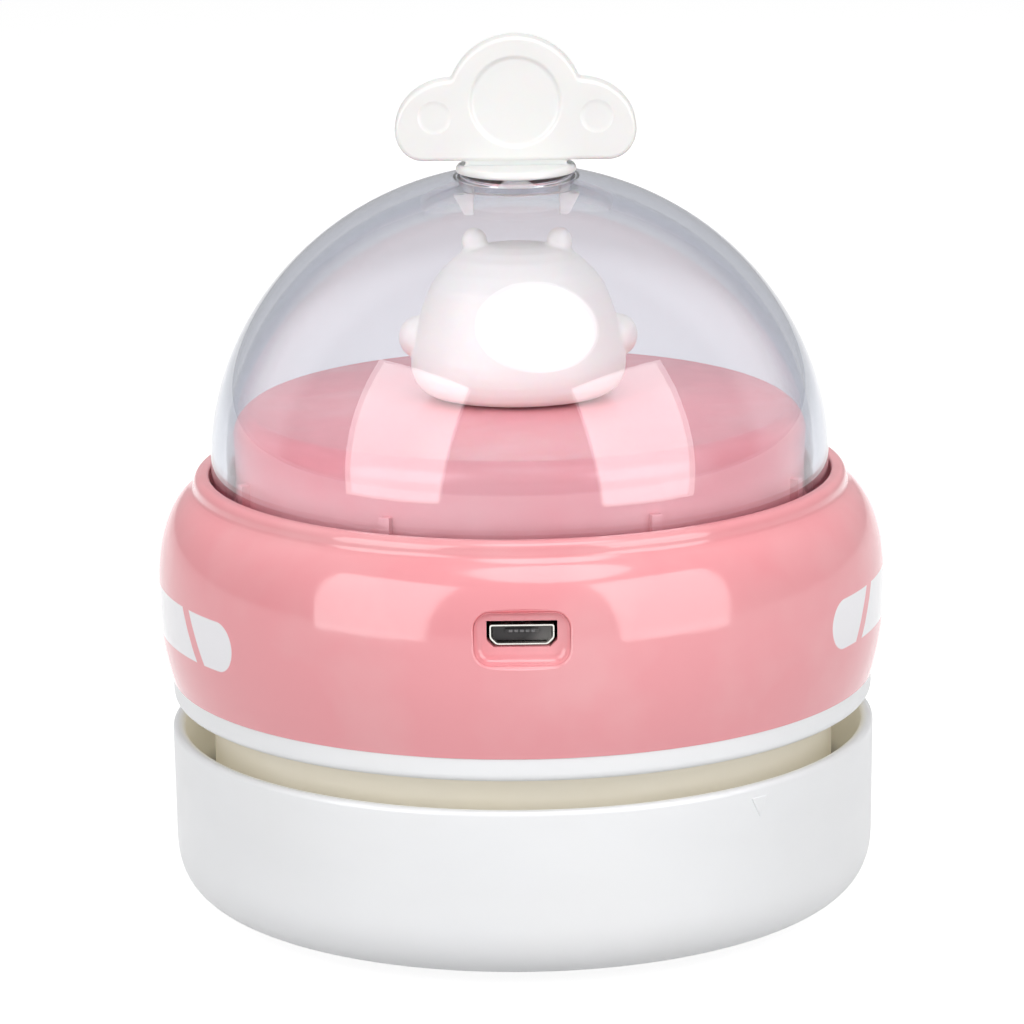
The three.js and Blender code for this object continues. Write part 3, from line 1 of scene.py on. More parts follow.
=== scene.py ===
import json
from math import acos, atan2, copysign, cos, degrees, pi, radians, sin, sqrt

import bmesh
import bpy
from mathutils import Matrix, Vector


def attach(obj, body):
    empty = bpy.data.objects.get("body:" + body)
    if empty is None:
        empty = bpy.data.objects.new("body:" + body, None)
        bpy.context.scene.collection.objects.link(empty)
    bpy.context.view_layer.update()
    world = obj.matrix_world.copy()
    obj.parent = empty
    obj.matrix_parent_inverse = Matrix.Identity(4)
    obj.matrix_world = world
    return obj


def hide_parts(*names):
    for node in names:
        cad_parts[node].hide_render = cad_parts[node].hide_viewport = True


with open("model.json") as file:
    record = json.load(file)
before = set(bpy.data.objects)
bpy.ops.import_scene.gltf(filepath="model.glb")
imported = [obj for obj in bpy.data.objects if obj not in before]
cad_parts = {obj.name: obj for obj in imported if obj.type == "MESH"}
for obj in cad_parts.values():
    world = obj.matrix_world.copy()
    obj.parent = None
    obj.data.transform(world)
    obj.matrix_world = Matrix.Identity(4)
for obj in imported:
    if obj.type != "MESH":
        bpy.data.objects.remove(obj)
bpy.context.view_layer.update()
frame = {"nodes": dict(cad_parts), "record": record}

# A desktop mini vacuum cleaner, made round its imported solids. Shapes are drawn in millimetres
# and brought to metres when a piece is finished. X runs to the right, Y to the back, Z up.

MM = 0.001
ROUND_STEPS = 160
SMALL_STEPS = 48
WELD = 0.002
SHARP_ANGLE = radians(40)

# Sizes, as in the part's own source

CUP_BOTTOM, CUP_FLOOR, SEAT, CUP_RIM = 1.6, 3.6, 15.0, 22.8
CUP_RADIUS, CUP_WALL, CUP_FLAT = 43.0, 1.5, 34.5
DUST_WALL, DUST_WALL_INSIDE, FLOOR_OPENING = 36.6, 35.2, 22.0
PLATE_RECESS, PLATE_SCREW_RING = 27.3, 24.6
BAND_BOTTOM, CHASSIS_TOP, BAND_TOP = 26.2, 28.2, 29.1
SKIRT, SKIRT_INSIDE, CHAMBER = 37.9, 36.9, 35.4
WIDEST, LIP_TOP = 39.0, 53.9
SHELL_RADIUS, SHELL_FOOT, SHELL_WALL = 44.3, 42.9, 1.8
SHOULDER_RUN, SHOULDER_RISE, SHOULDER_POWER = 8.8, 13.8, 2.6
LIP_INSIDE, LIP_FOOT, LIP_BEAD = 37.8, 40.15, 1.15
DOME_RADIUS, DOME_WALL, DOME_SPRING, DOME_RISE, DOME_POWER = 37.5, 1.8, 56.0, 34.6, 1.9
DOME_HOLE = 6.5
DECK_RADIUS, DECK_EDGE, DECK_TOP = 34.6, 61.9, 62.7
FLANGE_RADIUS, DOME_FLANGE_TOP, DOME_FLANGE_BOTTOM = 39.2, 50.9, 49.7
PORT_HEIGHT, PORT_FLOOR, BUTTON_HEIGHT = 43.9, 42.5, 40.6
SCREW_ANGLES, LUG_ANGLES, FOOT_ANGLES = (90, 210, 330), (30, 150, 270), (45, 135, 225, 315)
VENT_ANGLES = [5.625 + 22.5 * i for i in range(16) if i not in (8, 9, 14, 15)]
CLOUD_HALF, CLOUD_CORNER, LOBE_MIDDLE, LOBE_TOP = 14.48, 3.4, 3.7, 9.75
CROWN_LOBE, CROWN_RISE, DOME_CROWN = 8.27, 6.68, 90.05

# Sizes of the finer detail

COLLAR_WALL, COLLAR_DEPTH = 0.8, 2.7
HOOK_TIP, HOOK_CATCH, HOOK_INSIDE, HOOK_OUTSIDE, HOOK_REACH = 84.75, 87.05, 5.1, 6.2, 7.5
SPIGOT_INSIDE, SPIGOT_END = 4.9, 88.2
DISH_RADIUS, DISH_DEPTH, DIMPLE_RADIUS, DIMPLE_DEPTH, DIMPLE_OUT = 5.5, 0.42, 2.0, 0.14, 9.7
RECESS_WIDTH, RECESS_RISE, RECESS_CORNER, RECESS_FILLET, RECESS_MOUTH = 11.0, 6.2, 1.95, 1.1, 0.35
PORT_OPENING, PORT_SHELL, PORT_INSIDE = (8.1, 3.1, 0.8), (7.4, 2.35, 0.75), (7.08, 2.03, 0.68)
BUTTON_HOLE, BUTTON_SEAT = 10.6, 40.0
FIGURE_RISE, FIGURE_HALF, FIGURE_DEPTH = 18.4, 13.0, 0.86
BRUSH_ROWS, BRUSH_TUFTS, BRUSH_SPREAD, BRUSH_INSIDE, ROW_STEP = 5, 70, 80, 18.25, 0.325
BLADE_ROOT, BLADE_RUN, BLADE_SWEEP, BLADE_HALF, BLADE_STEPS = 9.5, 19.1, 48, 0.55, 12


# Shape tools

def oval(centre_r, centre_z, run, rise, powers, first, last, steps):
    """Points on a squared-off quarter oval, between two angles in degrees."""
    points = []
    for i in range(steps + 1):
        angle = radians(first + (last - first) * i / steps)
        c, s = cos(angle), sin(angle)
        r = copysign(abs(c) ** (2 / powers[0]), c)
        z = copysign(abs(s) ** (2 / powers[1]), s)
        points.append((centre_r + run * r, centre_z + rise * z))
    return points


def profile(points, segments=4):
    """A wire of (radius, height) points. A third number rounds that corner, cut back by so much.
    It is closed unless it starts on the axis."""
    bm = bmesh.new()
    corners = [bm.verts.new((p[0], 0, p[1])) for p in points]
    ends = corners[1:] + corners[:1] if points[0][0] else corners[1:]
    for a, b in zip(corners, ends):
        bm.edges.new((a, b))
    rounds = {}
    for corner, p in zip(corners, points):
        if len(p) > 2:
            rounds.setdefault(p[2], []).append(corner)
    for cut, group in rounds.items():
        bmesh.ops.bevel(bm, geom=group, offset=cut, offset_type="OFFSET", segments=segments,
                        profile=0.5, affect="VERTICES", material=-1)
    return bm


def weld(bm):
    bmesh.ops.remove_doubles(bm, verts=bm.verts, dist=WELD)
    bmesh.ops.recalc_face_normals(bm, faces=bm.faces)
    return bm


def spin_round(bm, angle, steps, whole=False):
    bmesh.ops.spin(bm, geom=bm.verts[:] + bm.edges[:] + bm.faces[:], cent=(0, 0, 0), axis=(0, 0, 1),
                   angle=radians(angle), steps=steps, use_merge=whole)


def turned(points, steps=ROUND_STEPS, segments=4):
    """The profile turned all the way round Z."""
    bm = profile(points, segments)
    spin_round(bm, 360, steps, whole=True)
    return weld(bm)


def sector(inner, outer, low, high, middle, half, steps=6):
    """A block on part of a ring. Its middle and half width are angles in degrees."""
    bm = bmesh.new()
    outline = ((inner, 0, low), (outer, 0, low), (outer, 0, high), (inner, 0, high))
    corners = [bm.verts.new(p) for p in outline]
    bm.faces.new(corners)
    spin_round(bm, 2 * half, steps)
    place(bm, turn=middle - half)
    return weld(bm)


def block(low, high, edge=0.0):
    """A box between two corners, with its edges rounded."""
    bm = bmesh.new()
    bmesh.ops.create_cube(bm, size=1)
    size = [b - a for a, b in zip(low, high)]
    bmesh.ops.scale(bm, vec=size, verts=bm.verts)
    place(bm, [(a + b) / 2 for a, b in zip(low, high)])
    if edge:
        soften(bm, bm.edges, edge)
    return bm


def soften(bm, edges, width, segments=2):
    bmesh.ops.bevel(bm, geom=list(edges), offset=width, offset_type="OFFSET", segments=segments,
                    profile=0.5, affect="EDGES", material=-1, clamp_overlap=True)


def sharp_edges(bm):
    return [e for e in bm.edges if len(e.link_faces) == 2 and e.calc_face_angle(0) > SHARP_ANGLE]


def edges_along(bm, axis):
    """Edges that run more than a millimetre along X, Y or Z, which is axis 0, 1 or 2."""
    return [e for e in bm.edges if abs(e.verts[0].co[axis] - e.verts[1].co[axis]) > 1]


def place(bm, move=(0, 0, 0), turn=0.0, axis="Z"):
    """Turns a shape about an axis through the origin, in degrees, after moving it."""
    bmesh.ops.translate(bm, vec=move, verts=bm.verts)
    if turn:
        matrix = Matrix.Rotation(radians(turn), 3, axis)
        bmesh.ops.rotate(bm, cent=(0, 0, 0), matrix=matrix, verts=bm.verts)
    return bm


def add_shape(bm, other):
    """Puts another shape into this one, and frees it."""
    mesh = bpy.data.meshes.new("part")
    other.to_mesh(mesh)
    other.free()
    bm.from_mesh(mesh)
    bpy.data.meshes.remove(mesh)
    return bm


def all_of(shapes):
    bm = bmesh.new()
    for shape in shapes:
        add_shape(bm, shape)
    return bm


def around(make, angles):
    """One shape, made and turned to each angle about Z."""
    return all_of(place(make(), turn=angle) for angle in angles)


def every(count):
    return [360 * i / count for i in range(count)]


def flat_shape(outline, depth, front=0.0):
    """A closed outline of (x, z) points, raised from front towards the back by depth."""
    bm = bmesh.new()
    face = bm.faces.new([bm.verts.new((x, front, z)) for x, z in outline])
    raised = bmesh.ops.extrude_face_region(bm, geom=[face])
    moved = [v for v in raised["geom"] if isinstance(v, bmesh.types.BMVert)]
    bmesh.ops.translate(bm, vec=(0, depth, 0), verts=moved)
    bmesh.ops.recalc_face_normals(bm, faces=bm.faces)
    return bm


def rounded_outline(width, height, corner, centre=(0, 0), steps=8):
    """Points of a rounded rectangle, counted round from its lower right corner."""
    points = []
    middles = ((1, -1, -90), (1, 1, 0), (-1, 1, 90), (-1, -1, 180))
    for sx, sz, first in middles:
        cx = centre[0] + sx * (width / 2 - corner)
        cz = centre[1] + sz * (height / 2 - corner)
        for i in range(steps + 1):
            angle = radians(first + 90 * i / steps)
            points.append((cx + corner * cos(angle), cz + corner * sin(angle)))
    return points


def loft(rings):
    """A closed solid through rings of the same number of points."""
    bm = bmesh.new()
    loops = []
    for ring in rings:
        verts = [bm.verts.new(p) for p in ring]
        loops.append([bm.edges.new(pair) for pair in zip(verts, verts[1:] + verts[:1])])
    for a, b in zip(loops, loops[1:]):
        bmesh.ops.bridge_loops(bm, edges=a + b)
    for loop in (loops[0], loops[-1]):
        bmesh.ops.contextual_create(bm, geom=loop)
    bmesh.ops.recalc_face_normals(bm, faces=bm.faces)
    return bm


def rod(radius, start, end, axis="Y", hollow=0.0):
    """A round bar or tube along Y or Z, from start to end."""
    bm = turned([(hollow, start), (radius, start), (radius, end), (hollow, end)], SMALL_STEPS)
    if axis == "Y":
        place(bm, turn=-90, axis="X")
    return bm


def to_object(bm, name):
    mesh = bpy.data.meshes.new(name)
    bm.to_mesh(mesh)
    bm.free()
    made = bpy.data.objects.new(name, mesh)
    bpy.context.scene.collection.objects.link(made)
    return made


def read_back(*objects):
    """The first object's shape with its modifiers applied. All the objects are removed."""
    bm = bmesh.new()
    bm.from_mesh(objects[0].evaluated_get(bpy.context.evaluated_depsgraph_get()).to_mesh())
    for made in objects:
        mesh = made.data
        bpy.data.objects.remove(made)
        bpy.data.meshes.remove(mesh)
    return bm


def combined(whole, tool, how="DIFFERENCE", crossing=False):
    """One shape with a tool cut off it, joined to it, or kept in common with it.
    crossing says that the tool's own parts run through each other."""
    a, b = to_object(whole, "whole"), to_object(tool, "tool")
    modifier = a.modifiers.new("combine", "BOOLEAN")
    modifier.operation, modifier.solver, modifier.object = how, "EXACT", b
    modifier.use_self = crossing
    return read_back(a, b)


def finish_piece(name, bm, body, look, stands_for=(), sharp=32, weighted=True):
    """Brings a shape to metres and makes it a piece that rides on a body."""
    bmesh.ops.scale(bm, vec=(MM, MM, MM), verts=bm.verts)
    limit = radians(sharp)
    for face in bm.faces:
        face.smooth = True
    for edge in bm.edges:
        edge.smooth = len(edge.link_faces) != 2 or edge.calc_face_angle(0) < limit
    piece = to_object(bm, name)
    piece.data.materials.append(look)
    if weighted:
        modifier = piece.modifiers.new("even shading", "WEIGHTED_NORMAL")
        modifier.keep_sharp = True
    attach(piece, body)
    if stands_for:
        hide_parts(*stands_for)
    return piece


# Camera, in the photograph's place. Its shift is in pixels of the 1024-pixel frame.

FRAME_PIXELS, SHIFT_RIGHT, SHIFT_UP = 1024, -8.7, 21.01
CAMERA_DISTANCE, CAMERA_AIM, CAMERA_ELEVATION, CAMERA_ROLL = 0.620, 0.0454, 13.65, -0.72
LENS, SENSOR = 178.5, 36


def make_camera():
    elevation, roll = radians(CAMERA_ELEVATION), radians(CAMERA_ROLL)
    data = bpy.data.cameras.new("camera")
    data.lens, data.sensor_width = LENS, SENSOR
    data.shift_x, data.shift_y = SHIFT_RIGHT / FRAME_PIXELS, SHIFT_UP / FRAME_PIXELS
    data.clip_start, data.clip_end = 0.01, 20
    back = Vector((0, -cos(elevation), sin(elevation)))
    side = Vector((1, 0, 0))
    up = back.cross(side)
    right = side * cos(roll) + up * sin(roll)
    top = up * cos(roll) - side * sin(roll)
    camera = bpy.data.objects.new("camera", data)
    place_in_world = Matrix((right, top, back)).transposed().to_4x4()
    place_in_world.translation = Vector((0, 0, CAMERA_AIM)) + back * CAMERA_DISTANCE
    camera.matrix_world = place_in_world
    bpy.context.scene.collection.objects.link(camera)
    bpy.context.scene.camera = camera


# Material tools

def feed(socket, value):
    """Gives a socket a link or a value."""
    if isinstance(value, bpy.types.NodeSocket):
        socket.id_data.links.new(value, socket)
    else:
        socket.default_value = value


def fill(made, **values):
    """Gives a node's named inputs their links or values."""
    for key, value in values.items():
        feed(made.inputs[key.replace("_", " ")], value)


def node(tree, kind, values=None, **settings):
    """A node with its settings made, and each named input given a value or a link."""
    made = tree.nodes.new(kind)
    for key, value in settings.items():
        setattr(made, key, value)
    for key, value in (values or {}).items():
        feed(made.inputs[key], value)
    return made


def calc(tree, operation, a, b=0.0, clamp=False):
    made = node(tree, "ShaderNodeMath", {0: a, 1: b}, operation=operation, use_clamp=clamp)
    return made.outputs[0]


def times(tree, a, b, clamp=False):
    return calc(tree, "MULTIPLY", a, b, clamp)


def less(tree, a, b):
    return calc(tree, "SUBTRACT", a, b)


def plus(tree, a, b, clamp=False):
    return calc(tree, "ADD", a, b, clamp)


def most(tree, a, b):
    return calc(tree, "MAXIMUM", a, b)


def diagonal(tree, a, b):
    return calc(tree, "SQRT", plus(tree, times(tree, a, a), times(tree, b, b)))


def blend_colour(tree, factor, a, b):
    made = node(tree, "ShaderNodeMix", {0: factor, 6: a, 7: b}, data_type="RGBA", blend_type="MIX")
    return made.outputs[2]


def span(tree, value, low, high, to_low=0.0, to_high=1.0):
    made = node(tree, "ShaderNodeMapRange", {"Value": value, "From Min": low, "From Max": high,
                                             "To Min": to_low, "To Max": to_high})
    return made.outputs[0]


def noise(tree, where, scale, detail=2.0, roughness=0.5):
    made = node(tree, "ShaderNodeTexNoise", {"Vector": where, "Scale": scale, "Detail": detail,
                                             "Roughness": roughness})
    return made.outputs["Fac"]


def object_place(tree):
    return tree.nodes.new("ShaderNodeTexCoord").outputs["Object"]


def raise_surface(tree, shader, height, strength, depth=0.001):
    """Leads a height to the shader's normal through a Bump node."""
    bump = node(tree, "ShaderNodeBump", {"Height": height, "Strength": strength, "Distance": depth})
    fill(shader, Normal=bump.outputs[0])
    return bump


def new_group(name, inputs):
    """A node group with input sockets of (name, kind, default)."""
    tree = bpy.data.node_groups.new(name, "ShaderNodeTree")
    for label, kind, default in inputs:
        socket = tree.interface.new_socket(label, in_out="INPUT", socket_type=kind)
        socket.default_value = default
    for label, kind in (("Colour", COLOUR), ("Roughness", FLOAT), ("Height", FLOAT)):
        tree.interface.new_socket(label, in_out="OUTPUT", socket_type=kind)
    return tree, tree.nodes.new("NodeGroupInput").outputs, tree.nodes.new("NodeGroupOutput")


FLOAT, COLOUR = "NodeSocketFloat", "NodeSocketColor"


def make_moulded_skin():
    """Moulded plastic: soft flow marks, a breath of dust in patches and a fine orange peel."""
    tree, given, out = new_group("moulded skin", [
        ("Colour", COLOUR, (0.8, 0.8, 0.8, 1)),
        ("Flow", FLOAT, 0.03),
        ("Roughness", FLOAT, 0.3),
        ("Gloss Spread", FLOAT, 0.05),
        ("Peel", FLOAT, 0.3),
        ("Dust", FLOAT, 0.1),
    ])
    where = object_place(tree)
    stretch = node(tree, "ShaderNodeMapping", {"Vector": where, "Scale": (1, 1, 2.4)}).outputs[0]
    flow = span(tree, noise(tree, stretch, 34, 3), 0.3, 0.7, -1, 1)
    shade = plus(tree, times(tree, flow, given["Flow"]), 1.0)
    shaded = node(tree, "ShaderNodeVectorMath", {0: given["Colour"], "Scale": shade}, operation="SCALE")
    haze = span(tree, noise(tree, where, 70, 3), 0.45, 0.75)
    dust = times(tree, haze, given["Dust"], clamp=True)
    dusty = blend_colour(tree, dust, shaded.outputs[0], (0.86, 0.85, 0.83, 1))
    smear = span(tree, noise(tree, where, 260, 4, 0.6), 0.35, 0.65, -1, 1)
    gloss = plus(tree, times(tree, smear, given["Gloss Spread"]), given["Roughness"])
    rough = plus(tree, gloss, times(tree, dust, 0.05), clamp=True)
    peel = times(tree, noise(tree, where, 900, 2), given["Peel"])
    fill(out, Colour=dusty, Roughness=rough, Height=peel)
    return tree


def make_worked_metal():
    """Drawn or turned metal: fine lines one way, faint stains and a little tarnish."""
    tree, given, out = new_group("worked metal", [
        ("Colour", COLOUR, (0.6, 0.6, 0.6, 1)),
        ("Tarnish", COLOUR, (0.3, 0.28, 0.25, 1)),
        ("Tarnish Amount", FLOAT, 0.2),
        ("Roughness", FLOAT, 0.3),
        ("Line Depth", FLOAT, 0.3),
    ])
    where = object_place(tree)
    drawn = node(tree, "ShaderNodeMapping", {"Vector": where, "Scale": (1, 1, 14)}).outputs[0]
    lines = noise(tree, drawn, 700, 3)
    stain = span(tree, noise(tree, where, 190, 4, 0.6), 0.45, 0.75)
    amount = times(tree, stain, given["Tarnish Amount"], clamp=True)
    stained = blend_colour(tree, amount, given["Colour"], given["Tarnish"])
    spread = span(tree, lines, 0.3, 0.7, -0.06, 0.06)
    gloss = plus(tree, given["Roughness"], spread)
    fill(out, Colour=stained, Roughness=plus(tree, gloss, times(tree, amount, 0.3)),
         Height=times(tree, lines, given["Line Depth"]))
    return tree


def new_material(name):
    made = bpy.data.materials.new(name)
    made.use_nodes = True
    tree = made.node_tree
    tree.nodes.clear()
    shader = tree.nodes.new("ShaderNodeBsdfPrincipled")
    output = tree.nodes.new("ShaderNodeOutputMaterial")
    tree.links.new(shader.outputs[0], output.inputs["Surface"])
    return made, tree, shader


def dress(tree, shader, group, bump=0.02, **values):
    """Places a group in a material and leads its colour, roughness and height to the shader.
    Gives back the group's node and the Bump node."""
    made = tree.nodes.new("ShaderNodeGroup")
    made.node_tree = group
    fill(made, **values)
    fill(shader, Base_Color=made.outputs["Colour"], Roughness=made.outputs["Roughness"])
    return made, raise_surface(tree, shader, made.outputs["Height"], bump)


def plastic(name, colour, roughness, flow=0.02, peel=0.3, dust=0.15, bump=0.03, **extra):
    made, tree, shader = new_material(name)
    dress(tree, shader, moulded_skin, bump, Colour=(*colour, 1), Flow=flow, Roughness=roughness,
          Gloss_Spread=0.04, Peel=peel, Dust=dust)
    fill(shader, **extra)
    return made


def metal(name, colour, roughness, tarnish=(0.25, 0.22, 0.2), amount=0.25, lines=0.4):
    made, tree, shader = new_material(name)
    dress(tree, shader, worked_metal, 0.05, Colour=(*colour, 1), Tarnish=(*tarnish, 1),
          Tarnish_Amount=amount, Roughness=roughness, Line_Depth=lines)
    fill(shader, Metallic=1.0)
    return made


# Printed stripes on the ring, measured along its widest line in millimetres

STRIPE_MIDDLE, STRIPE_WAVE, STRIPE_HALF, STRIPE_SLANT = 38.86, 0.56, 3.03, 0.6
STRIPE_START, STRIPE_CUT, STRIPE_AGAIN, STRIPE_RIGHT = 38.8, 46.98, 48.87, 4.2
INK_EDGE, INK_HEIGHT = 0.12, 0.8


def stripe_mask(tree):
    """1 where the white print is: a short piece with a round end, a gap and a long band."""
    axes = node(tree, "ShaderNodeSeparateXYZ", {0: object_place(tree)}).outputs
    forward = times(tree, axes["Y"], -1.0)
    angle = calc(tree, "ARCTAN2", axes["X"], calc(tree, "ABSOLUTE", forward))
    swing = times(tree, calc(tree, "ABSOLUTE", angle), SHELL_RADIUS)
    on_right = calc(tree, "GREATER_THAN", axes["X"], 0.0)
    along = less(tree, swing, times(tree, on_right, STRIPE_RIGHT))
    wave = times(tree, calc(tree, "SINE", angle), STRIPE_WAVE)
    height = times(tree, axes["Z"], 1 / MM)
    up = less(tree, less(tree, height, STRIPE_MIDDLE), wave)
    slanted = less(tree, along, times(tree, up, STRIPE_SLANT))
    before = most(tree, less(tree, STRIPE_START + STRIPE_HALF, along), 0.0)
    ends = diagonal(tree, before, up)
    short = most(tree, less(tree, ends, STRIPE_HALF), less(tree, slanted, STRIPE_CUT))
    edge = less(tree, calc(tree, "ABSOLUTE", up), STRIPE_HALF)
    long = most(tree, edge, less(tree, STRIPE_AGAIN, slanted))
    outside = calc(tree, "MINIMUM", short, long)
    return span(tree, outside, INK_EDGE / 2, -INK_EDGE / 2)


def make_printed_pink():
    made, tree, shader = new_material("printed pink plastic")
    ink = stripe_mask(tree)
    colour = blend_colour(tree, ink, (*PINK, 1), (*INK_WHITE, 1))
    group, bump = dress(tree, shader, moulded_skin, 0.02, Colour=colour, Flow=0.012, Roughness=0.1,
                        Gloss_Spread=0.02, Peel=0.3, Dust=0.12)
    fill(bump, Height=plus(tree, group.outputs["Height"], times(tree, ink, INK_HEIGHT)))
    return made


def make_cup_plastic():
    """White plastic, with a warm glow painted on the inside of the wall round the drum in place of light
    let through it.
    """
    made, tree, shader = new_material("white cup plastic")
    dress(tree, shader, moulded_skin, 0.03, Colour=(*WHITE, 1), Flow=0.02, Roughness=0.38,
          Gloss_Spread=0.04, Peel=0.3, Dust=0.15)
    axes = node(tree, "ShaderNodeSeparateXYZ", {0: object_place(tree)}).outputs
    radius = diagonal(tree, axes["X"], axes["Y"])
    # Painted glow: a warm emission on the wall's inner face, stronger towards the seat, lightens the gap.
    inside = span(tree, radius, (CUP_RADIUS - 0.6) * MM, (CUP_RADIUS - 1.2) * MM)
    upper = span(tree, axes["Z"], (SEAT - 2) * MM, SEAT * MM, 0.0, INNER_PAINTED_GLOW)
    fill(shader, Emission_Color=(*WARM_PAINTED_GLOW, 1), Emission_Strength=times(tree, inside, upper))
    return made


def make_clear_dome():
    """Clear plastic that goes grey-blue where one looks along its wall."""
    made, tree, shader = new_material("clear dome plastic")
    facing = node(tree, "ShaderNodeLayerWeight", {"Blend": EDGE_BLEND}).outputs["Facing"]
    edge = span(tree, facing, EDGE_STARTS, EDGE_WHOLE)
    raise_surface(tree, shader, noise(tree, object_place(tree), 45, 1), 0.008)
    shadow = tree.nodes.new("ShaderNodeLightPath").outputs["Is Shadow Ray"]
    fill(shader, Base_Color=blend_colour(tree, edge, (*DOME_MIDDLE, 1), (*DOME_EDGE, 1)),
         Alpha=less(tree, 1.0, times(tree, shadow, DOME_LETS_THROUGH)),
         Transmission_Weight=1.0, IOR=1.49, Roughness=0.0)
    return made


def make_felt():
    """Pressed filter felt: matted fibres, with the shade between them painted into the colour."""
    made, tree, shader = new_material("filter felt")
    where = object_place(tree)
    fibre_and_shade = noise(tree, where, 1400, 4, 0.7)
    mat = noise(tree, where, 260, 3)
    # Painted shade: the colour goes darker where the fibre noise is low, as between fibres.
    colour = blend_colour(tree, span(tree, fibre_and_shade, 0.35, 0.65), (0.60, 0.62, 0.62, 1), (0.86, 0.87, 0.86, 1))
    colour = blend_colour(tree, span(tree, mat, 0.4, 0.75, 0, 0.35), colour, (0.70, 0.69, 0.66, 1))
    raise_surface(tree, shader, plus(tree, times(tree, fibre_and_shade, 0.6), times(tree, mat, 0.4)), 0.5, 0.0006)
    fill(shader, Base_Color=colour, Roughness=0.95, Sheen_Weight=0.3)
    return made


def make_board_green():
    """A coated circuit board with tracks that show through its green."""
    made, tree, shader = new_material("circuit board")
    where = object_place(tree)
    tracks = node(tree, "ShaderNodeTexBrick", {
        "Vector": node(tree, "ShaderNodeMapping", {"Vector": where, "Scale": (520, 520, 520)}).outputs[0],
        "Color1": (0.020, 0.125, 0.060, 1), "Color2": (0.030, 0.160, 0.080, 1),
        "Mortar": (0.07, 0.24, 0.12, 1), "Scale": 1.0, "Mortar Size": 0.06})
    weave = span(tree, noise(tree, where, 2200, 2), 0.3, 0.7, 0.92, 1.06)
    colour = node(tree, "ShaderNodeVectorMath", {0: tracks.outputs["Color"], "Scale": weave},
                  operation="SCALE")
    raise_surface(tree, shader, tracks.outputs["Fac"], 0.2, 0.0002)
    fill(shader, Base_Color=colour.outputs[0], Roughness=0.35)
    return made


PINK = (0.83, 0.325, 0.355)
WHITE = (0.860, 0.870, 0.885)
INK_WHITE = (0.86, 0.85, 0.88)
CREAM = (0.80, 0.76, 0.67)
# Colour and strength of the painted warm glow on the cup's inner wall; the drum's painted glow takes the
# same colour.
WARM_PAINTED_GLOW = (1.0, 0.88, 0.60)
INNER_PAINTED_GLOW = 0.13
DOME_MIDDLE = (0.797, 0.802, 0.836)
DOME_EDGE = (0.36, 0.385, 0.46)
EDGE_BLEND, EDGE_STARTS, EDGE_WHOLE = 0.42, 0.46, 0.66
DOME_LETS_THROUGH = 0.8  # the share of a lamp's light that passes straight through the dome

make_camera()

moulded_skin = make_moulded_skin()
worked_metal = make_worked_metal()
printed_pink = make_printed_pink()
pink_plastic = plastic("pink plastic", PINK, 0.18)
white_plastic = plastic("white plastic", WHITE, 0.38)
cup_plastic = make_cup_plastic()
cream_plastic = plastic("cream plastic", CREAM, 0.4, flow=0.03)
# The drum's faint emission is a painted glow that lightens the gap; the drum is no lamp.
drum_painted_glow_plastic = plastic("drum plastic with painted glow", CREAM, 0.4, flow=0.03, Emission_Color=(*WARM_PAINTED_GLOW, 1),
                       Emission_Strength=0.05)
cloud_plastic = plastic("cloud plastic", (0.80, 0.797, 0.785), 0.36, Subsurface_Weight=0.15,
                        Subsurface_Scale=0.002)
figure_plastic = plastic("figure plastic", (0.83, 0.81, 0.775), 0.45, flow=0.03, Subsurface_Weight=0.15,
                         Subsurface_Scale=0.002)
clear_dome = make_clear_dome()
black_plastic = plastic("black plastic", (0.018, 0.016, 0.017), 0.45, dust=0.3)
grey_rubber = plastic("grey rubber", (0.42, 0.43, 0.45), 0.75, flow=0.06, peel=1.0, bump=0.2)
bristle_nylon = plastic("bristle nylon", (0.80, 0.80, 0.76), 0.5, flow=0.1)
filter_felt = make_felt()
board_green = make_board_green()
cell_sleeve = plastic("cell sleeve", (0.10, 0.21, 0.45), 0.36, flow=0.05)
red_lead = plastic("red lead", (0.45, 0.02, 0.02), 0.45, flow=0.08)
black_lead = plastic("black lead", (0.02, 0.02, 0.022), 0.45, flow=0.08)
plated_steel = metal("plated steel", (0.72, 0.72, 0.73), 0.22)
port_steel = metal("port steel", (0.78, 0.77, 0.72), 0.25, amount=0.1)
screw_steel = metal("screw steel", (0.62, 0.62, 0.63), 0.3)
motor_metal = metal("motor can metal", (0.60, 0.60, 0.61), 0.35, lines=0.8)
contact_grey = metal("contact grey", (0.16, 0.16, 0.165), 0.42)
gold_contact = metal("gold contact", (0.83, 0.60, 0.25), 0.28, tarnish=(0.4, 0.26, 0.1))


# Dust cup

def cup_mark():
    """The raised triangle that points down, near the rim."""
    top, tip, half, face = CUP_RIM - 1.4, CUP_RIM - 3.9, 1.3, -CUP_RADIUS - 0.12
    bm = flat_shape([(-half, top), (0, tip), (half, top)], 1.2, face)
    soften(bm, [e for e in bm.edges if all(v.co.y < face + 0.01 for v in e.verts)], 0.25, 4)
    return place(bm, turn=39.8)


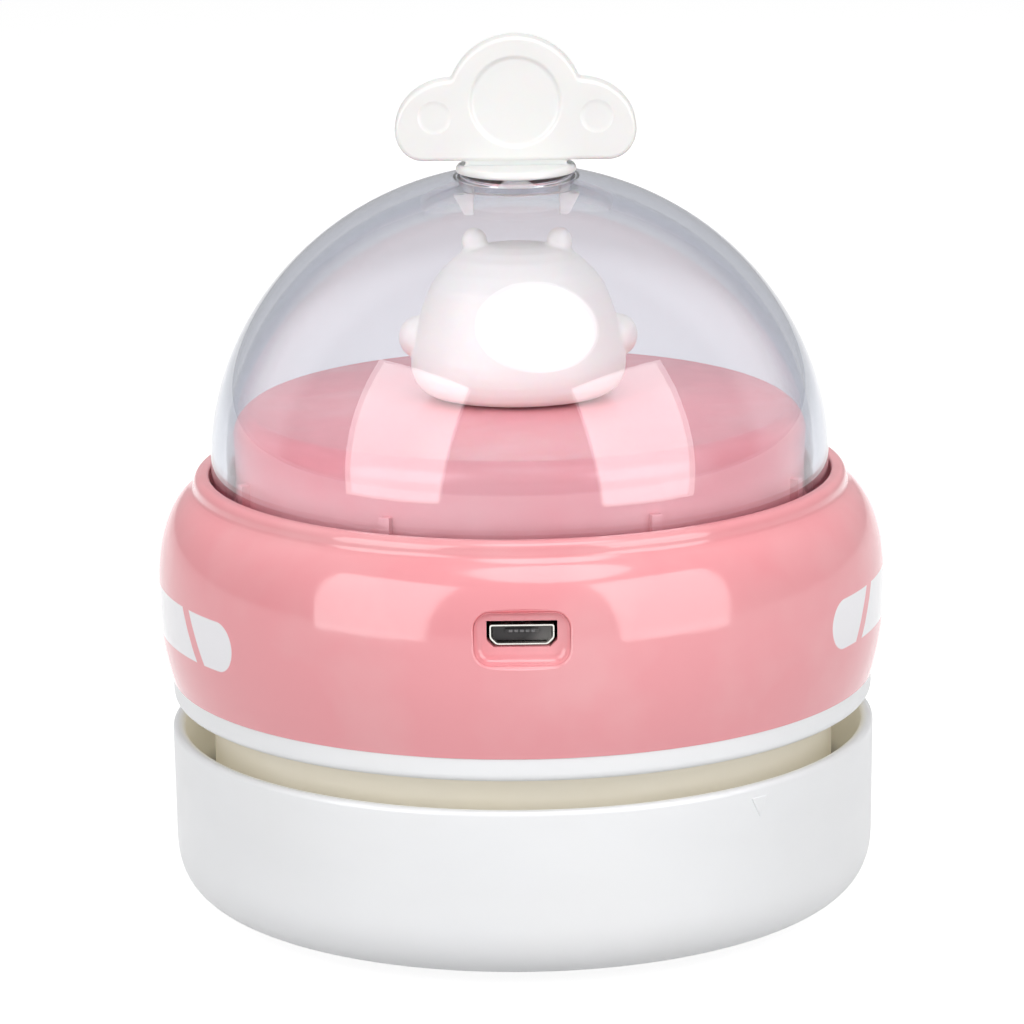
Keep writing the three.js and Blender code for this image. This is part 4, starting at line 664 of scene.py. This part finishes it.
def make_cup():
    outer = oval(CUP_FLAT, 9.6, 8.35, 8.0, (2.75, 2.75), -90, 0, 24)
    inner = [p for p in oval(CUP_FLAT, 9.8, 6.7, 6.2, (2.6, 2.6), 0, -90, 24) if p[0] > DUST_WALL + 0.5]
    rim = CUP_RADIUS - CUP_WALL
    bowl = turned([
        (FLOOR_OPENING, 2.6), (PLATE_RECESS, 2.6, 0.2), (PLATE_RECESS, CUP_BOTTOM, 0.3), *outer,
        (CUP_RADIUS, CUP_RIM, 0.62), (rim, CUP_RIM, 0.62), *inner, (DUST_WALL, 3.72, 0.4),
        (DUST_WALL, SEAT, 0.35), (DUST_WALL_INSIDE, SEAT, 0.35), (DUST_WALL_INSIDE, CUP_FLOOR, 0.6),
        (FLOOR_OPENING, CUP_FLOOR, 0.3),
    ], steps=192)
    extras = [cup_mark()]
    for angle in LUG_ANGLES:
        lug = sector(DUST_WALL - 0.3, DUST_WALL + 1.2, 12.2, 13.7, angle, 4)
        soften(lug, sharp_edges(lug), 0.25)
        extras.append(lug)
    for angle in SCREW_ANGLES:
        key = sector(DUST_WALL_INSIDE + 0.1, DUST_WALL - 0.1, SEAT - 0.5, SEAT + 0.8, angle, 3)
        soften(key, sharp_edges(key), 0.2)
        boss = turned([(0, 3.0), (2.6, 3.0), (2.6, 6.4, 0.4), (0, 6.4)], SMALL_STEPS)
        extras += [key, place(boss, (PLATE_SCREW_RING, 0, 0), angle)]
    bm = add_shape(bowl, all_of(extras))
    finish_piece("cup", bm, "dust_cup", cup_plastic, ["dust_cup"])


# White band with the floor behind it and what stands on that floor

def make_chassis():
    floor = turned([
        (12.6, BAND_BOTTOM), (42.75, BAND_BOTTOM, 1.0), (42.75, BAND_TOP, 0.15), (40.5, BAND_TOP, 0.2),
        (40.5, 33.2, 0.4), (39.2, 33.2, 0.4), (39.2, CHASSIS_TOP, 0.5), (12.6, CHASSIS_TOP, 0.3),
    ])
    fittings = []
    cell_x, cell_z = 22.6, 36.4
    for y in (-13.0, 13.0):
        cradle = block((cell_x - 9, y - 1, 28.0), (cell_x + 9, y + 1, 36.2))
        groove = place(rod(7.3, y - 3, y + 3), (cell_x, 0, cell_z))
        fittings.append(combined(cradle, groove))
    for x in (-7.4, 7.4):
        fittings.append(place(rod(2.1, 28.0, 41.5, axis="Z"), (x, -32.9, 0)))
    for side in (-1, 1):
        rail = block((side * 7.5 - 1.5, 31.0, 28.0), (side * 7.5 + 1.5, 35.0, 37.3), 0.2)
        slot = block((-7.8, 32.1, 33.8), (7.8, 33.9, 40))
        fittings.append(combined(rail, slot))
    bm = add_shape(floor, all_of(fittings))
    finish_piece("white_band", bm, "head", white_plastic, ["chassis"])


# Cream drum behind the gap

def make_drum():
    flare = oval(38.8, 22.0, 0.9, 4.2, (2, 2), 180, 90, 12)
    drum = turned([
        (SKIRT_INSIDE, 11.0, 0.2), (SKIRT, 11.0, 0.25), *flare, (3.4, BAND_BOTTOM), (3.4, 24.4),
        (CHAMBER, 24.4), (CHAMBER, 19.0), (SKIRT_INSIDE, 19.0),
    ])
    cuts = []
    for angle in VENT_ANGLES:
        vent = block((CHAMBER - 1, -2.7, 18.7), (41, 2.7, 21.1))
        soften(vent, edges_along(vent, 0), 0.8, 4)
        cuts.append(place(vent, turn=angle))
    for angle in LUG_ANGLES:
        cuts.append(sector(SKIRT_INSIDE - 0.4, SKIRT + 1, 10.0, 14.0, angle, 5.2))
        cuts.append(sector(SKIRT_INSIDE - 0.4, SKIRT + 1, 11.9, 14.0, angle - 9, 14.2, 14))
    bm = combined(drum, all_of(cuts), crossing=True)
    finish_piece("fan_drum", bm, "head", drum_painted_glow_plastic, ["fan_housing"])
    plate = turned([
        (10.5, 17.3, 0.3), (36.6, 17.3, 0.2), (36.6, 18.5, 0.2), (11.7, 18.5, 0.4), (10.5, 19.0, 0.2),
    ], steps=96)
    finish_piece("fan_inlet", plate, "head", cream_plastic, ["orifice_plate"])


# Pink ring with the port's recess

def shell_radius(z):
    """The ring's outer radius at a height."""
    if z < WIDEST:
        share = (z - BAND_TOP) / (WIDEST - BAND_TOP)
        return SHELL_RADIUS - (SHELL_RADIUS - SHELL_FOOT) * (1 - share) ** 2
    share = min((z - WIDEST) / SHOULDER_RISE, 1)
    reach = (1 - share ** SHOULDER_POWER) ** (1 / SHOULDER_POWER)
    return SHELL_RADIUS - SHOULDER_RUN + SHOULDER_RUN * reach


def flank(inset, steps):
    """Points up the ring's lower side."""
    heights = [BAND_TOP + (WIDEST - BAND_TOP) * i / steps for i in range(steps)]
    return [(shell_radius(z) - inset, z) for z in heights]


def shoulder(inset, last, steps):
    powers = (SHOULDER_POWER, SHOULDER_POWER)
    return oval(SHELL_RADIUS - SHOULDER_RUN, WIDEST, SHOULDER_RUN - inset, SHOULDER_RISE - inset,
                powers, 0, last, steps)


def on_shell(x, z, depth=0.0, front=-1):
    """A point over (x, z), that deep below the ring's outer surface."""
    return (x, front * (sqrt(max(shell_radius(z) ** 2 - x * x, 0)) - depth), z)


def flared_cutter(width, height, corner, floor, mouth, centre_z, front=-1, fillet=0.0):
    """A tool for a recess whose softly rounded mouth follows the curved wall. A fillet rounds the
    edge of its floor."""
    def outline(grow):
        return rounded_outline(width + 2 * grow, height + 2 * grow, corner + grow, (0, centre_z))

    rings = []
    for angle in (0, 25, 50, 75, 90) if fillet else (90,):
        level = floor + fillet * (1 - cos(radians(angle)))
        base = outline(-fillet * (1 - sin(radians(angle))))
        rings.append([(x, front * level, z) for x, z in base])
    stops = [radians(a) for a in (0, 15, 30, 45, 60, 74)]
    for stop in stops:
        wide = outline(mouth * (1 - cos(stop)))
        rings.append([on_shell(x, z, mouth * (1 - sin(stop)), front) for x, z in wide])
    wide = outline(mouth * (1 - cos(stops[-1])) + 0.5)
    rings.append([on_shell(x, z, -0.6, front) for x, z in wide])
    rings.append([(x, front * (SHELL_RADIUS + 3), z) for x, z in wide])
    return loft(rings)


def port_outline(width, height, corner, middle=PORT_HEIGHT):
    """The socket's outline: flat above, its lower corners cut off."""
    half, top, bottom = width / 2, middle + height / 2, middle - height / 2
    return [(-half, top), (-half, bottom + corner), (-half + corner, bottom),
            (half - corner, bottom), (half, bottom + corner), (half, top)]


def make_ring():
    outside = [p for p in shoulder(0, 90, 60) if p[0] > LIP_FOOT]
    bead = oval(38.55, LIP_TOP - LIP_BEAD, LIP_BEAD, LIP_BEAD, (2.2, 2.2), 0, 90, 12)
    inside = [p for p in shoulder(SHELL_WALL, 90, 30) if p[1] < 46.5]
    shell = turned([
        *flank(0, 10), *outside, (39.72, 52.15, 0.3), *bead,
        (LIP_INSIDE, LIP_TOP, 0.35), (LIP_INSIDE, 51.2, 0.1), (39.5, 51.2), (39.5, 50.3),
        *inside[::-1], *flank(SHELL_WALL, 6)[::-1],
    ], steps=192, segments=6)
    envelope = turned([
        (0, BAND_TOP), *flank(0.9, 10), *shoulder(0.9, 60, 24), (0, 50),
    ], steps=96)
    pad = flat_shape(rounded_outline(15.6, 11, 2.3, (0, PORT_HEIGHT)), 2.8, -43.4)
    guide = rod(6.7, 41.0, 43.4, hollow=5.3)
    place(guide, (0, 0, BUTTON_HEIGHT))
    extras = combined(add_shape(pad, guide), envelope, "INTERSECT")
    shell = combined(shell, extras, "UNION")
    recess = flared_cutter(RECESS_WIDTH, RECESS_RISE, RECESS_CORNER, PORT_FLOOR, RECESS_MOUTH,
                           PORT_HEIGHT - 0.38, fillet=RECESS_FILLET)
    opening = flat_shape(port_outline(*PORT_OPENING), 6, -44)
    button_hole = flared_cutter(BUTTON_HOLE, BUTTON_HOLE, 5.29, BUTTON_SEAT, 0.4, BUTTON_HEIGHT, front=1)
    shell = combined(shell, add_shape(recess, button_hole))
    shell = combined(shell, opening)
    finish_piece("pink_ring", shell, "head", printed_pink, ["upper_shell"], sharp=28)


# Charging port

def make_port():
    middle = PORT_HEIGHT - 0.2
    rim = flat_shape(port_outline(*PORT_SHELL, middle), 5.6, -42.1)
    soften(rim, edges_along(rim, 1), 0.25, 3)
    inside = flat_shape(port_outline(*PORT_INSIDE, middle), 8, -43.2)
    soften(inside, edges_along(inside, 1), 0.18, 3)
    shell = combined(rim, inside)
    finish_piece("port_shell", shell, "head", port_steel, ["usb_shell"])
    insulator = block((-1.95, -41.4, middle + 0.05), (1.95, -37.4, middle + 0.55), 0.12)
    stem = block((-3.4, -41.1, middle - 0.95), (3.4, -36.6, middle + 0.95), 0.1)
    finish_piece("port_tongue", add_shape(insulator, stem), "head", black_plastic,
                 ["usb_tongue"])
    contacts = bmesh.new()
    for i in range(5):
        x = (i - 2) * 0.65
        add_shape(contacts, block((x - 0.2, -41.45, middle + 0.1), (x + 0.2, -38.4, middle + 0.42), 0.04))
    finish_piece("port_contacts", contacts, "head", contact_grey)


# Clear dome, deck and figure

def make_dome():
    outer_end = degrees(acos(DOME_HOLE / DOME_RADIUS))
    inner_radius, collar = DOME_RADIUS - DOME_WALL, DOME_HOLE + COLLAR_WALL
    inner_end = degrees(acos(collar / inner_radius))
    outer = oval(0, DOME_SPRING, DOME_RADIUS, DOME_RISE, (2, DOME_POWER), 0, outer_end, 72)
    inner = oval(0, DOME_SPRING, inner_radius, DOME_RISE - DOME_WALL, (2, DOME_POWER), 0, inner_end, 72)
    collar_bottom = outer[-1][1] - COLLAR_DEPTH
    dome = turned([
        (inner_radius, DOME_FLANGE_BOTTOM), (FLANGE_RADIUS, DOME_FLANGE_BOTTOM, 0.2),
        (FLANGE_RADIUS, DOME_FLANGE_TOP, 0.2), (DOME_RADIUS, DOME_FLANGE_TOP, 0.3), *outer,
        (DOME_HOLE, collar_bottom, 0.3), (collar, collar_bottom, 0.3), *inner[::-1],
    ], steps=192)
    finish_piece("clear_dome", dome, "head", clear_dome, ["dome"])


def make_deck():
    top = oval(DECK_RADIUS - 2.6, DECK_EDGE - 2.6, 2.6, 2.6, (2, 2), 0, 80, 10)
    crown = [(r, DECK_TOP - (DECK_TOP - DECK_EDGE) * (r / 31.5) ** 2) for r in (30, 24, 16, 8, 0)]
    deck = turned([
        (0, 60.9), (30.2, 60.1), (32.8, 57.5), (32.8, 48.0), (39.2, 48.0, 0.2), (39.2, 49.4, 0.2),
        (34.6, 49.4, 0.5), *top, *crown,
    ])
    ribs = []
    for angle in (26, 66, 114, 154, 206, 246, 294, 334):
        rib = block((-0.65, -35.4, 48.7), (0.65, -33.7, 55.3))
        soften(rib, [e for e in rib.edges if min(v.co.z for v in e.verts) > 50], 0.2, 3)
        ribs.append(place(rib, turn=angle))
    for angle in (60, 120, 240, 300):
        ribs.append(place(rod(3, CHASSIS_TOP, 59, axis="Z"), (31.3, 0, 0), angle))
    bm = add_shape(deck, all_of(ribs))
    finish_piece("pink_deck", bm, "head", pink_plastic, ["top_deck"])


def egg(radii, centre, turn=0.0):
    """A rounded body of three radii, that joins its neighbours when remeshed."""
    bm = bmesh.new()
    bmesh.ops.create_uvsphere(bm, u_segments=48, v_segments=32, radius=1)
    bmesh.ops.scale(bm, vec=radii, verts=bm.verts)
    place(bm, turn=turn, axis="Y")
    return place(bm, centre)


def make_figure():
    """A chubby sitting animal with small round ears and arms."""
    base, height, half = DECK_TOP + 0.1, FIGURE_RISE, FIGURE_HALF
    shares = [
        (0.0, 0.0), (0.7, 0.0), (0.82, 0.012), (0.9, 0.045), (0.955, 0.095), (0.99, 0.155), (1.0, 0.21),
        (0.995, 0.28), (0.965, 0.38), (0.93, 0.48), (0.89, 0.576), (0.845, 0.663), (0.8, 0.74),
        (0.7, 0.83), (0.575, 0.915), (0.455, 0.965), (0.31, 0.992), (0.17, 1.0), (0, 1.0),
    ]
    body = turned([(r * half, base + z * height) for r, z in shares], steps=96)
    bmesh.ops.scale(body, vec=(1, FIGURE_DEPTH, 1), verts=body.verts)
    shapes = [body]
    for side in (-1, 1):
        shapes.append(egg((2.1, 1.9, 1.9), (side * 4.9, 0, base + height - 1.7), side * 14))
        shapes.append(egg((1.55, 1.3, 1.6), (side * 5.1, 0, base + height + 0.3)))
        shapes.append(egg((2.35, 2.7, 2.55), (side * (half - 0.9), 0.8, base + height * 0.38)))
    shapes.append(egg((3.2, 2.0, 2.2), (0, half * 0.62, base + height * 0.64)))
    figure = to_object(all_of(shapes), "figure_draft")
    figure.modifiers.new("one skin", "REMESH").voxel_size = 0.22
    smooth = figure.modifiers.new("soft joins", "SMOOTH")
    smooth.factor, smooth.iterations = 0.5, 6
    bm = read_back(figure)
    cut = bmesh.ops.bisect_plane(bm, geom=bm.verts[:] + bm.edges[:] + bm.faces[:], plane_co=(0, 0, base),
                                 plane_no=(0, 0, -1), clear_outer=True)
    rim = [e for e in cut["geom_cut"] if isinstance(e, bmesh.types.BMEdge)]
    bmesh.ops.contextual_create(bm, geom=rim)
    finish_piece("sitting_animal", bm, "head", figure_plastic, ["figure"], sharp=60,
                 weighted=False)


# Cloud-shaped knob

def cloud_outline(base):
    """The knob's outline from its lower right corner round: side lobe, crown and side lobe."""
    middle = base + LOBE_MIDDLE
    meet = sqrt(CROWN_LOBE ** 2 - (LOBE_TOP - CROWN_RISE) ** 2)
    side = oval(CLOUD_HALF - CLOUD_CORNER, middle, CLOUD_CORNER, LOBE_MIDDLE, (2, 2), -90, 0, 14)
    side += oval(meet, middle, CLOUD_HALF - meet, LOBE_TOP - LOBE_MIDDLE, (2, 2), 0, 90, 24)[1:]
    valley = degrees(atan2(LOBE_TOP - CROWN_RISE, meet))
    crown = oval(0, base + CROWN_RISE, CROWN_LOBE, CROWN_LOBE, (2, 2), valley, 180 - valley, 56)[1:-1]
    before, corner, after = side[-2], side[-1], crown[0]
    bend = [tuple(a * (1 - t) ** 2 + 2 * b * t * (1 - t) + c * t * t
                  for a, b, c in zip(before, corner, after)) for t in (0.33, 0.67)]
    side = side[:-1] + bend
    return side + crown + [(-x, z) for x, z in side[::-1]]


def dish_cutter(radius, depth, mouth, x, z, face):
    """A tool for a shallow round dish with a soft rim, in the knob's front or back face."""
    bm = turned([(0, -depth), (radius - 0.35, -depth, 0.25), (radius, 0, mouth), (radius + 0.8, 0.02),
                 (radius + 0.8, 2), (0, 2)], steps=96, segments=5)
    place(bm, turn=90 if face < 0 else -90, axis="X")
    return place(bm, (x, face, z))


def make_cloud():
    flange_low, flange_top, half = DOME_CROWN + 0.15, DOME_CROWN + 1.05, 2.0
    base = flange_top + 0.57
    plate = flat_shape(cloud_outline(base), 2 * half, -half)
    soften(plate, [e for e in plate.edges if abs(e.verts[0].co.y - e.verts[1].co.y) < 0.1], 0.8, 6)
    flare = [(5.98 + grow, flange_top + 0.285 + rise) for rise, grow in
             ((-0.5, 0.9), (-0.36, 0.5), (-0.26, 0.25), (-0.14, 0.1), (0, 0.04), (0.14, 0.1),
              (0.26, 0.25), (0.36, 0.5), (0.6, 0.6))]
    neck = flat_shape([(-x, z) for x, z in flare] + flare[::-1], 3.0, -1.5)
    flange = turned([(0, flange_low), (7.25, flange_low, 0.15), (7.25, flange_top, 0.6), (0, flange_top)],
                    steps=96)
    plate = combined(plate, neck, "UNION")
    cutters = []
    for face in (-half, half):
        cutters.append(dish_cutter(DISH_RADIUS, DISH_DEPTH, 0.25, 0, base + CROWN_RISE + 0.42, face))
        for side in (-1, 1):
            cutters.append(dish_cutter(DIMPLE_RADIUS, DIMPLE_DEPTH, 0.1, side * DIMPLE_OUT,
                                       base + 5.3, face))
    plate = combined(plate, all_of(cutters))
    hooks, root = [], flange_low + 0.3
    for side in (-1, 1):
        outline = [(HOOK_INSIDE, root), (HOOK_INSIDE, HOOK_TIP), (HOOK_OUTSIDE, HOOK_TIP),
                   (HOOK_REACH, HOOK_CATCH), (HOOK_OUTSIDE, HOOK_CATCH), (HOOK_OUTSIDE, root)]
        hook = flat_shape([(side * x, z) for x, z in outline], 3.0, -1.5)
        soften(hook, sharp_edges(hook), 0.15, 2)
        hooks.append(hook)
    spigot = turned([(SPIGOT_INSIDE, root), (HOOK_OUTSIDE, root), (HOOK_OUTSIDE, SPIGOT_END, 0.3),
                     (SPIGOT_INSIDE, SPIGOT_END, 0.2)], steps=96)
    bm = all_of([plate, flange, spigot, *hooks])
    finish_piece("cloud_knob", bm, "head", cloud_plastic, ["cloud_finial"])


# Button on the far side

def make_button():
    cap = turned([(0, 43.9), (3.6, 43.6, 0.4), (4.2, 44.25, 0.3), (5.0, 44.2, 0.5), (5.0, 40.7),
                  (6.2, 40.7, 0.2), (6.2, 39.7, 0.2), (0, 39.7)], steps=64)
    place(place(cap, turn=-90, axis="X"), (0, 0, BUTTON_HEIGHT))
    finish_piece("push_button", cap, "button", white_plastic, ["power_button"])


# Underside: inlet plate, brushes, feet and screws

def make_underside():
    plate = turned([
        (0, 0.9), (17.6, 0.9, 0.2), (17.6, 3.3), (20.2, 3.3), (20.2, 0.9, 0.2), (27.0, 0.9, 0.3),
        (27.0, 2.6), (21.7, 2.6), (21.7, 4.2, 0.3), (0, 4.2),
    ], steps=128)
    duct = loft([[(x, y, z) for x, y in rounded_outline(28.6, 13.6, 6.8, steps=12)] for z in (3.4, 8.6)])
    slot = loft([[(x, y, z) for x, y in rounded_outline(26.0 + grow, 11.0 + grow, 5.5 + grow / 2, steps=12)]
                 for z, grow in ((-1, 3.2), (0.85, 1.8), (1.5, 0.5), (2.4, 0), (10, 0))])
    plate = combined(plate, duct, "UNION")
    sinks = around(lambda: place(rod(2.1, -1, 1.8, axis="Z"), (PLATE_SCREW_RING, 0, 0)), SCREW_ANGLES)
    plate = combined(plate, add_shape(slot, sinks))
    finish_piece("inlet_plate_skin", plate, "dust_cup", white_plastic, ["inlet_plate"])
    for i, angle in enumerate(every(4)):
        brush = sector(17.9, 19.9, 2.4, 3.3, angle, 41, 24)
        for row in range(BRUSH_ROWS):
            for k in range(BRUSH_TUFTS):
                share = (k + 0.5 * (row % 2)) / (BRUSH_TUFTS - 0.5)
                turn = Matrix.Rotation(radians(angle + BRUSH_SPREAD * (share - 0.5)), 4, "Z")
                lean = Matrix.Rotation(radians(5 * sin(k * 2.4 + row * 1.7)), 4, "X")
                middle = Matrix.Translation((BRUSH_INSIDE + row * ROW_STEP, 0, 1.45))
                bmesh.ops.create_cone(brush, cap_ends=True, segments=4, radius1=0.08, radius2=0.11,
                                      depth=2.4, matrix=turn @ middle @ lean)
        finish_piece(f"brush_{i + 1}", brush, "dust_cup", bristle_nylon,
                     [f"brush_arc_{i + 1}"], weighted=False)
    for i, angle in enumerate(FOOT_ANGLES):
        foot = turned([(0, 0.15), (2.6, 0.15, 0.1), (2.8, 0, 0.1), (3.5, 0, 0.35), (3.5, 2.1), (0, 2.1)],
                      SMALL_STEPS)
        place(foot, (30.9, 0, 0), angle)
        finish_piece(f"foot_{i + 1}", foot, "dust_cup", grey_rubber, [f"foot_pad_{i + 1}"])
    for i, angle in enumerate(SCREW_ANGLES):
        screw = turned([(0, 0.95), (1.2, 0.95), (1.8, 1.2, 0.2), (1.8, 1.8), (0.9, 1.8),
                        (0.9, 4.5, 0.2), (0, 4.5)], steps=32)
        cross = add_shape(block((-1.1, -0.2, 0), (1.1, 0.2, 1.5)), block((-0.2, -1.1, 0), (0.2, 1.1, 1.5)))
        screw = place(combined(screw, cross, crossing=True), (PLATE_SCREW_RING, 0, 0), angle)
        finish_piece(f"inlet_screw_{i + 1}", screw, "dust_cup", screw_steel,
                     [f"plate_screw_{i + 1}"])


# Filter basket, felt pad and seal

def make_filter():
    basket = turned([
        (0, 10.4), (34.9, 10.4, 0.6), (34.9, SEAT, 0.2), (36.3, SEAT, 0.2), (36.3, 16.0, 0.35),
        (34.0, 16.0, 0.35), (34.0, 11.4, 0.4), (0, 11.4),
    ], steps=128)
    windows = []
    for angle in every(8):
        for inner, outer in ((4.6, 17.3), (18.7, 31.6)):
            wedge = sector(inner, outer, 9.4, 12.4, angle, 22.5, 8)
            trim = [place(block((0, -0.7, 9), (40, 0.7, 13)), turn=angle + side * 22.5) for side in (-1, 1)]
            wedge = combined(wedge, all_of(trim), crossing=True)
            upright = [e for e in edges_along(wedge, 2) if e.calc_face_angle(0) > 0.6]
            soften(wedge, upright, 0.6, 3)
            windows.append(wedge)
    for angle in SCREW_ANGLES:
        windows.append(sector(35.2, 38, 14.0, 17.0, angle, 4))
    basket = combined(basket, all_of(windows))
    finish_piece("filter_basket_skin", basket, "filter_basket", white_plastic,
                 ["filter_frame"])
    pad = turned([(0, 11.7), (33.6, 11.75, 0.5), (33.6, 14.3, 0.7), (30, 14.45), (16, 14.25), (0, 14.4)],
                 steps=128)
    pad = finish_piece("felt_pad", pad, "filter_basket", filter_felt, ["filter_pad"])
    seal = turned([(33.4, 16.3, 0.2), (35.8, 16.3, 0.2), (35.8, 17.0, 0.2), (34.6, 16.9, 0.2),
                   (33.4, 17.0, 0.2)], steps=128)
    finish_piece("seal", seal, "seal", grey_rubber, ["seal_ring"])


# Impeller, with blades that sweep back

def make_impeller():
    plate = turned([(1.15, 19.7), (3.6, 19.7, 0.2), (3.6, 22.9), (28.6, 22.9, 0.2), (28.6, 23.8, 0.3),
                    (6.0, 23.8), (3.6, 24.5, 0.3), (1.15, 24.5)], steps=96)
    blades = []
    for first in every(9):
        spiral = [(BLADE_ROOT + BLADE_RUN * i / BLADE_STEPS,
                   radians(first - BLADE_SWEEP * i / BLADE_STEPS)) for i in range(BLADE_STEPS + 1)]
        outer, inner = ([(r * cos(a + side / r), r * sin(a + side / r)) for r, a in spiral]
                        for side in (BLADE_HALF, -BLADE_HALF))
        outline = outer + inner[::-1]
        blades.append(loft([[(x, y, z) for x, y in outline] for z in (19.7, 23.1)]))
    bm = add_shape(plate, all_of(blades))
    finish_piece("impeller_skin", bm, "rotor", white_plastic, ["impeller"])


# Materials of the solids that keep their own shape

def dress_solids():
    looks = {
        "steel": plated_steel, "motor_metal": motor_metal, "brass": gold_contact,
        "black_plastic": black_plastic, "board_green": board_green, "cell_sleeve": cell_sleeve,
        "red_lead": red_lead, "black_lead": black_lead,
    }
    slots = {row["node"]: row["material_slot"] for row in frame["record"]["subparts"]}
    for name, solid in frame["nodes"].items():
        look = looks.get(slots[name])
        if look:
            for material_slot in solid.material_slots:
                material_slot.material = look


# Floor, world and lamps

def make_floor():
    bm = bmesh.new()
    bmesh.ops.create_grid(bm, x_segments=1, y_segments=1, size=3)
    floor = to_object(bm, "floor")
    made, tree, shader = new_material("white floor")
    path = tree.nodes.new("ShaderNodeLightPath").outputs
    seen = most(tree, most(tree, path["Is Camera Ray"], path["Is Glossy Ray"]), path["Is Transmission Ray"])
    fill(shader, Base_Color=(*FLOOR_GREY, 1), Roughness=0.9, Specular_IOR_Level=0.0,
         Emission_Color=(1, 1, 1, 1), Emission_Strength=times(tree, seen, FLOOR_LIFT))
    floor.data.materials.append(made)


def make_world():
    """White round the back, and a dark room in front of the object where it is mirrored or seen through."""
    world = bpy.data.worlds.new("studio")
    bpy.context.scene.world = world
    world.use_nodes = True
    tree = world.node_tree
    tree.nodes.clear()
    path = tree.nodes.new("ShaderNodeLightPath").outputs
    towards = tree.nodes.new("ShaderNodeTexCoord").outputs["Generated"]
    behind = node(tree, "ShaderNodeSeparateXYZ", {0: towards}).outputs["Y"]
    wall = span(tree, behind, WALL_STARTS, WALL_WHOLE, ROOM_LIGHT, 1.0)
    shine = span(tree, behind, WALL_STARTS, WALL_WHOLE, ROOM_LIGHT, WALL_SHINE)
    mirrored = times(tree, path["Is Glossy Ray"], shine)
    spread = calc(tree, "GREATER_THAN", path["Diffuse Depth"], 0.5)
    through = times(tree, path["Is Transmission Ray"], most(tree, wall, spread))
    plain = times(tree, path["Is Diffuse Ray"], WORLD_FILL)
    strength = most(tree, most(tree, path["Is Camera Ray"], mirrored), most(tree, through, plain))
    background = node(tree, "ShaderNodeBackground", {"Color": (1, 1, 1, 1), "Strength": strength})
    output = tree.nodes.new("ShaderNodeOutputWorld")
    tree.links.new(background.outputs[0], output.inputs["Surface"])


def soft_box(name, azimuth, elevation, distance, width, height, brightness, shape="RECTANGLE",
             reflected=True, lights=True):
    """A lamp panel of an even brightness. Azimuth 0 is in front, and 90 to the right.
    reflected says that surfaces mirror it, and lights that it lights them. One that only shines
    is mirrored by the dome's inner face too."""
    data = bpy.data.lights.new(name, "AREA")
    data.shape = shape
    data.size, data.size_y = width, height
    area = width * height * (pi / 4 if shape == "ELLIPSE" else 1)
    data.energy = brightness * pi * area
    a, e = radians(azimuth), radians(elevation)
    away = Vector((sin(a) * cos(e), -cos(a) * cos(e), sin(e)))
    lamp = bpy.data.objects.new(name, data)
    lamp.location = Vector((0, 0, LAMP_AIM)) + away * distance
    lamp.rotation_mode = "QUATERNION"
    lamp.rotation_quaternion = away.to_track_quat("Z", "Y")
    lamp.visible_camera = False
    lamp.visible_transmission = not lights
    lamp.visible_glossy = reflected
    lamp.visible_diffuse = lights
    bpy.context.scene.collection.objects.link(lamp)


# The wall behind begins and is whole at these shares of a direction's reach to the back.
WALL_STARTS, WALL_WHOLE, WALL_SHINE, ROOM_LIGHT, WORLD_FILL = 0.12, 0.26, 0.5, 0.12, 0.2
FLOOR_LIFT, FLOOR_GREY = 0.87, (0.42, 0.42, 0.42)
LAMP_AIM, PANEL_LIGHT, PANEL_SHINE, SHINE_NEARER = 0.05, 2.6, 4.2, 0.01


def make_lights():
    for name, azimuth, elevation, distance, width, height in (
            ("left", -46.4, 20, 0.528, 0.36, 0.476), ("right", 45.5, 18.4, 0.31, 0.20, 0.275)):
        soft_box(name + "_box", azimuth, elevation, distance, width, height, PANEL_LIGHT, reflected=False)
        soft_box(name + "_shine", azimuth, elevation, distance - SHINE_NEARER, width, height, PANEL_SHINE,
                 lights=False)
    soft_box("front_disc", 14.5, 66.3, 0.45, 0.31, 0.30, 1.9, shape="ELLIPSE")
    soft_box("front_glow", 16.3, 66.3, 0.44, 0.28, 0.27, 2.4, shape="ELLIPSE", lights=False)
    soft_box("low_box", 0, -2, 0.6, 0.5, 0.3, 1.3, reflected=False)
    soft_box("top_box", 180, 80, 0.6, 0.5, 0.5, 2.1, reflected=False)
    soft_box("back_box", 180, 30, 0.6, 0.6, 0.4, 1.8, reflected=False)


for make in (make_cup, make_chassis, make_drum, make_ring, make_port, make_dome, make_deck, make_figure,
             make_cloud, make_button, make_underside, make_filter, make_impeller, dress_solids,
             make_floor, make_world, make_lights):
    make()

bpy.context.scene.view_settings.view_transform = "Standard"
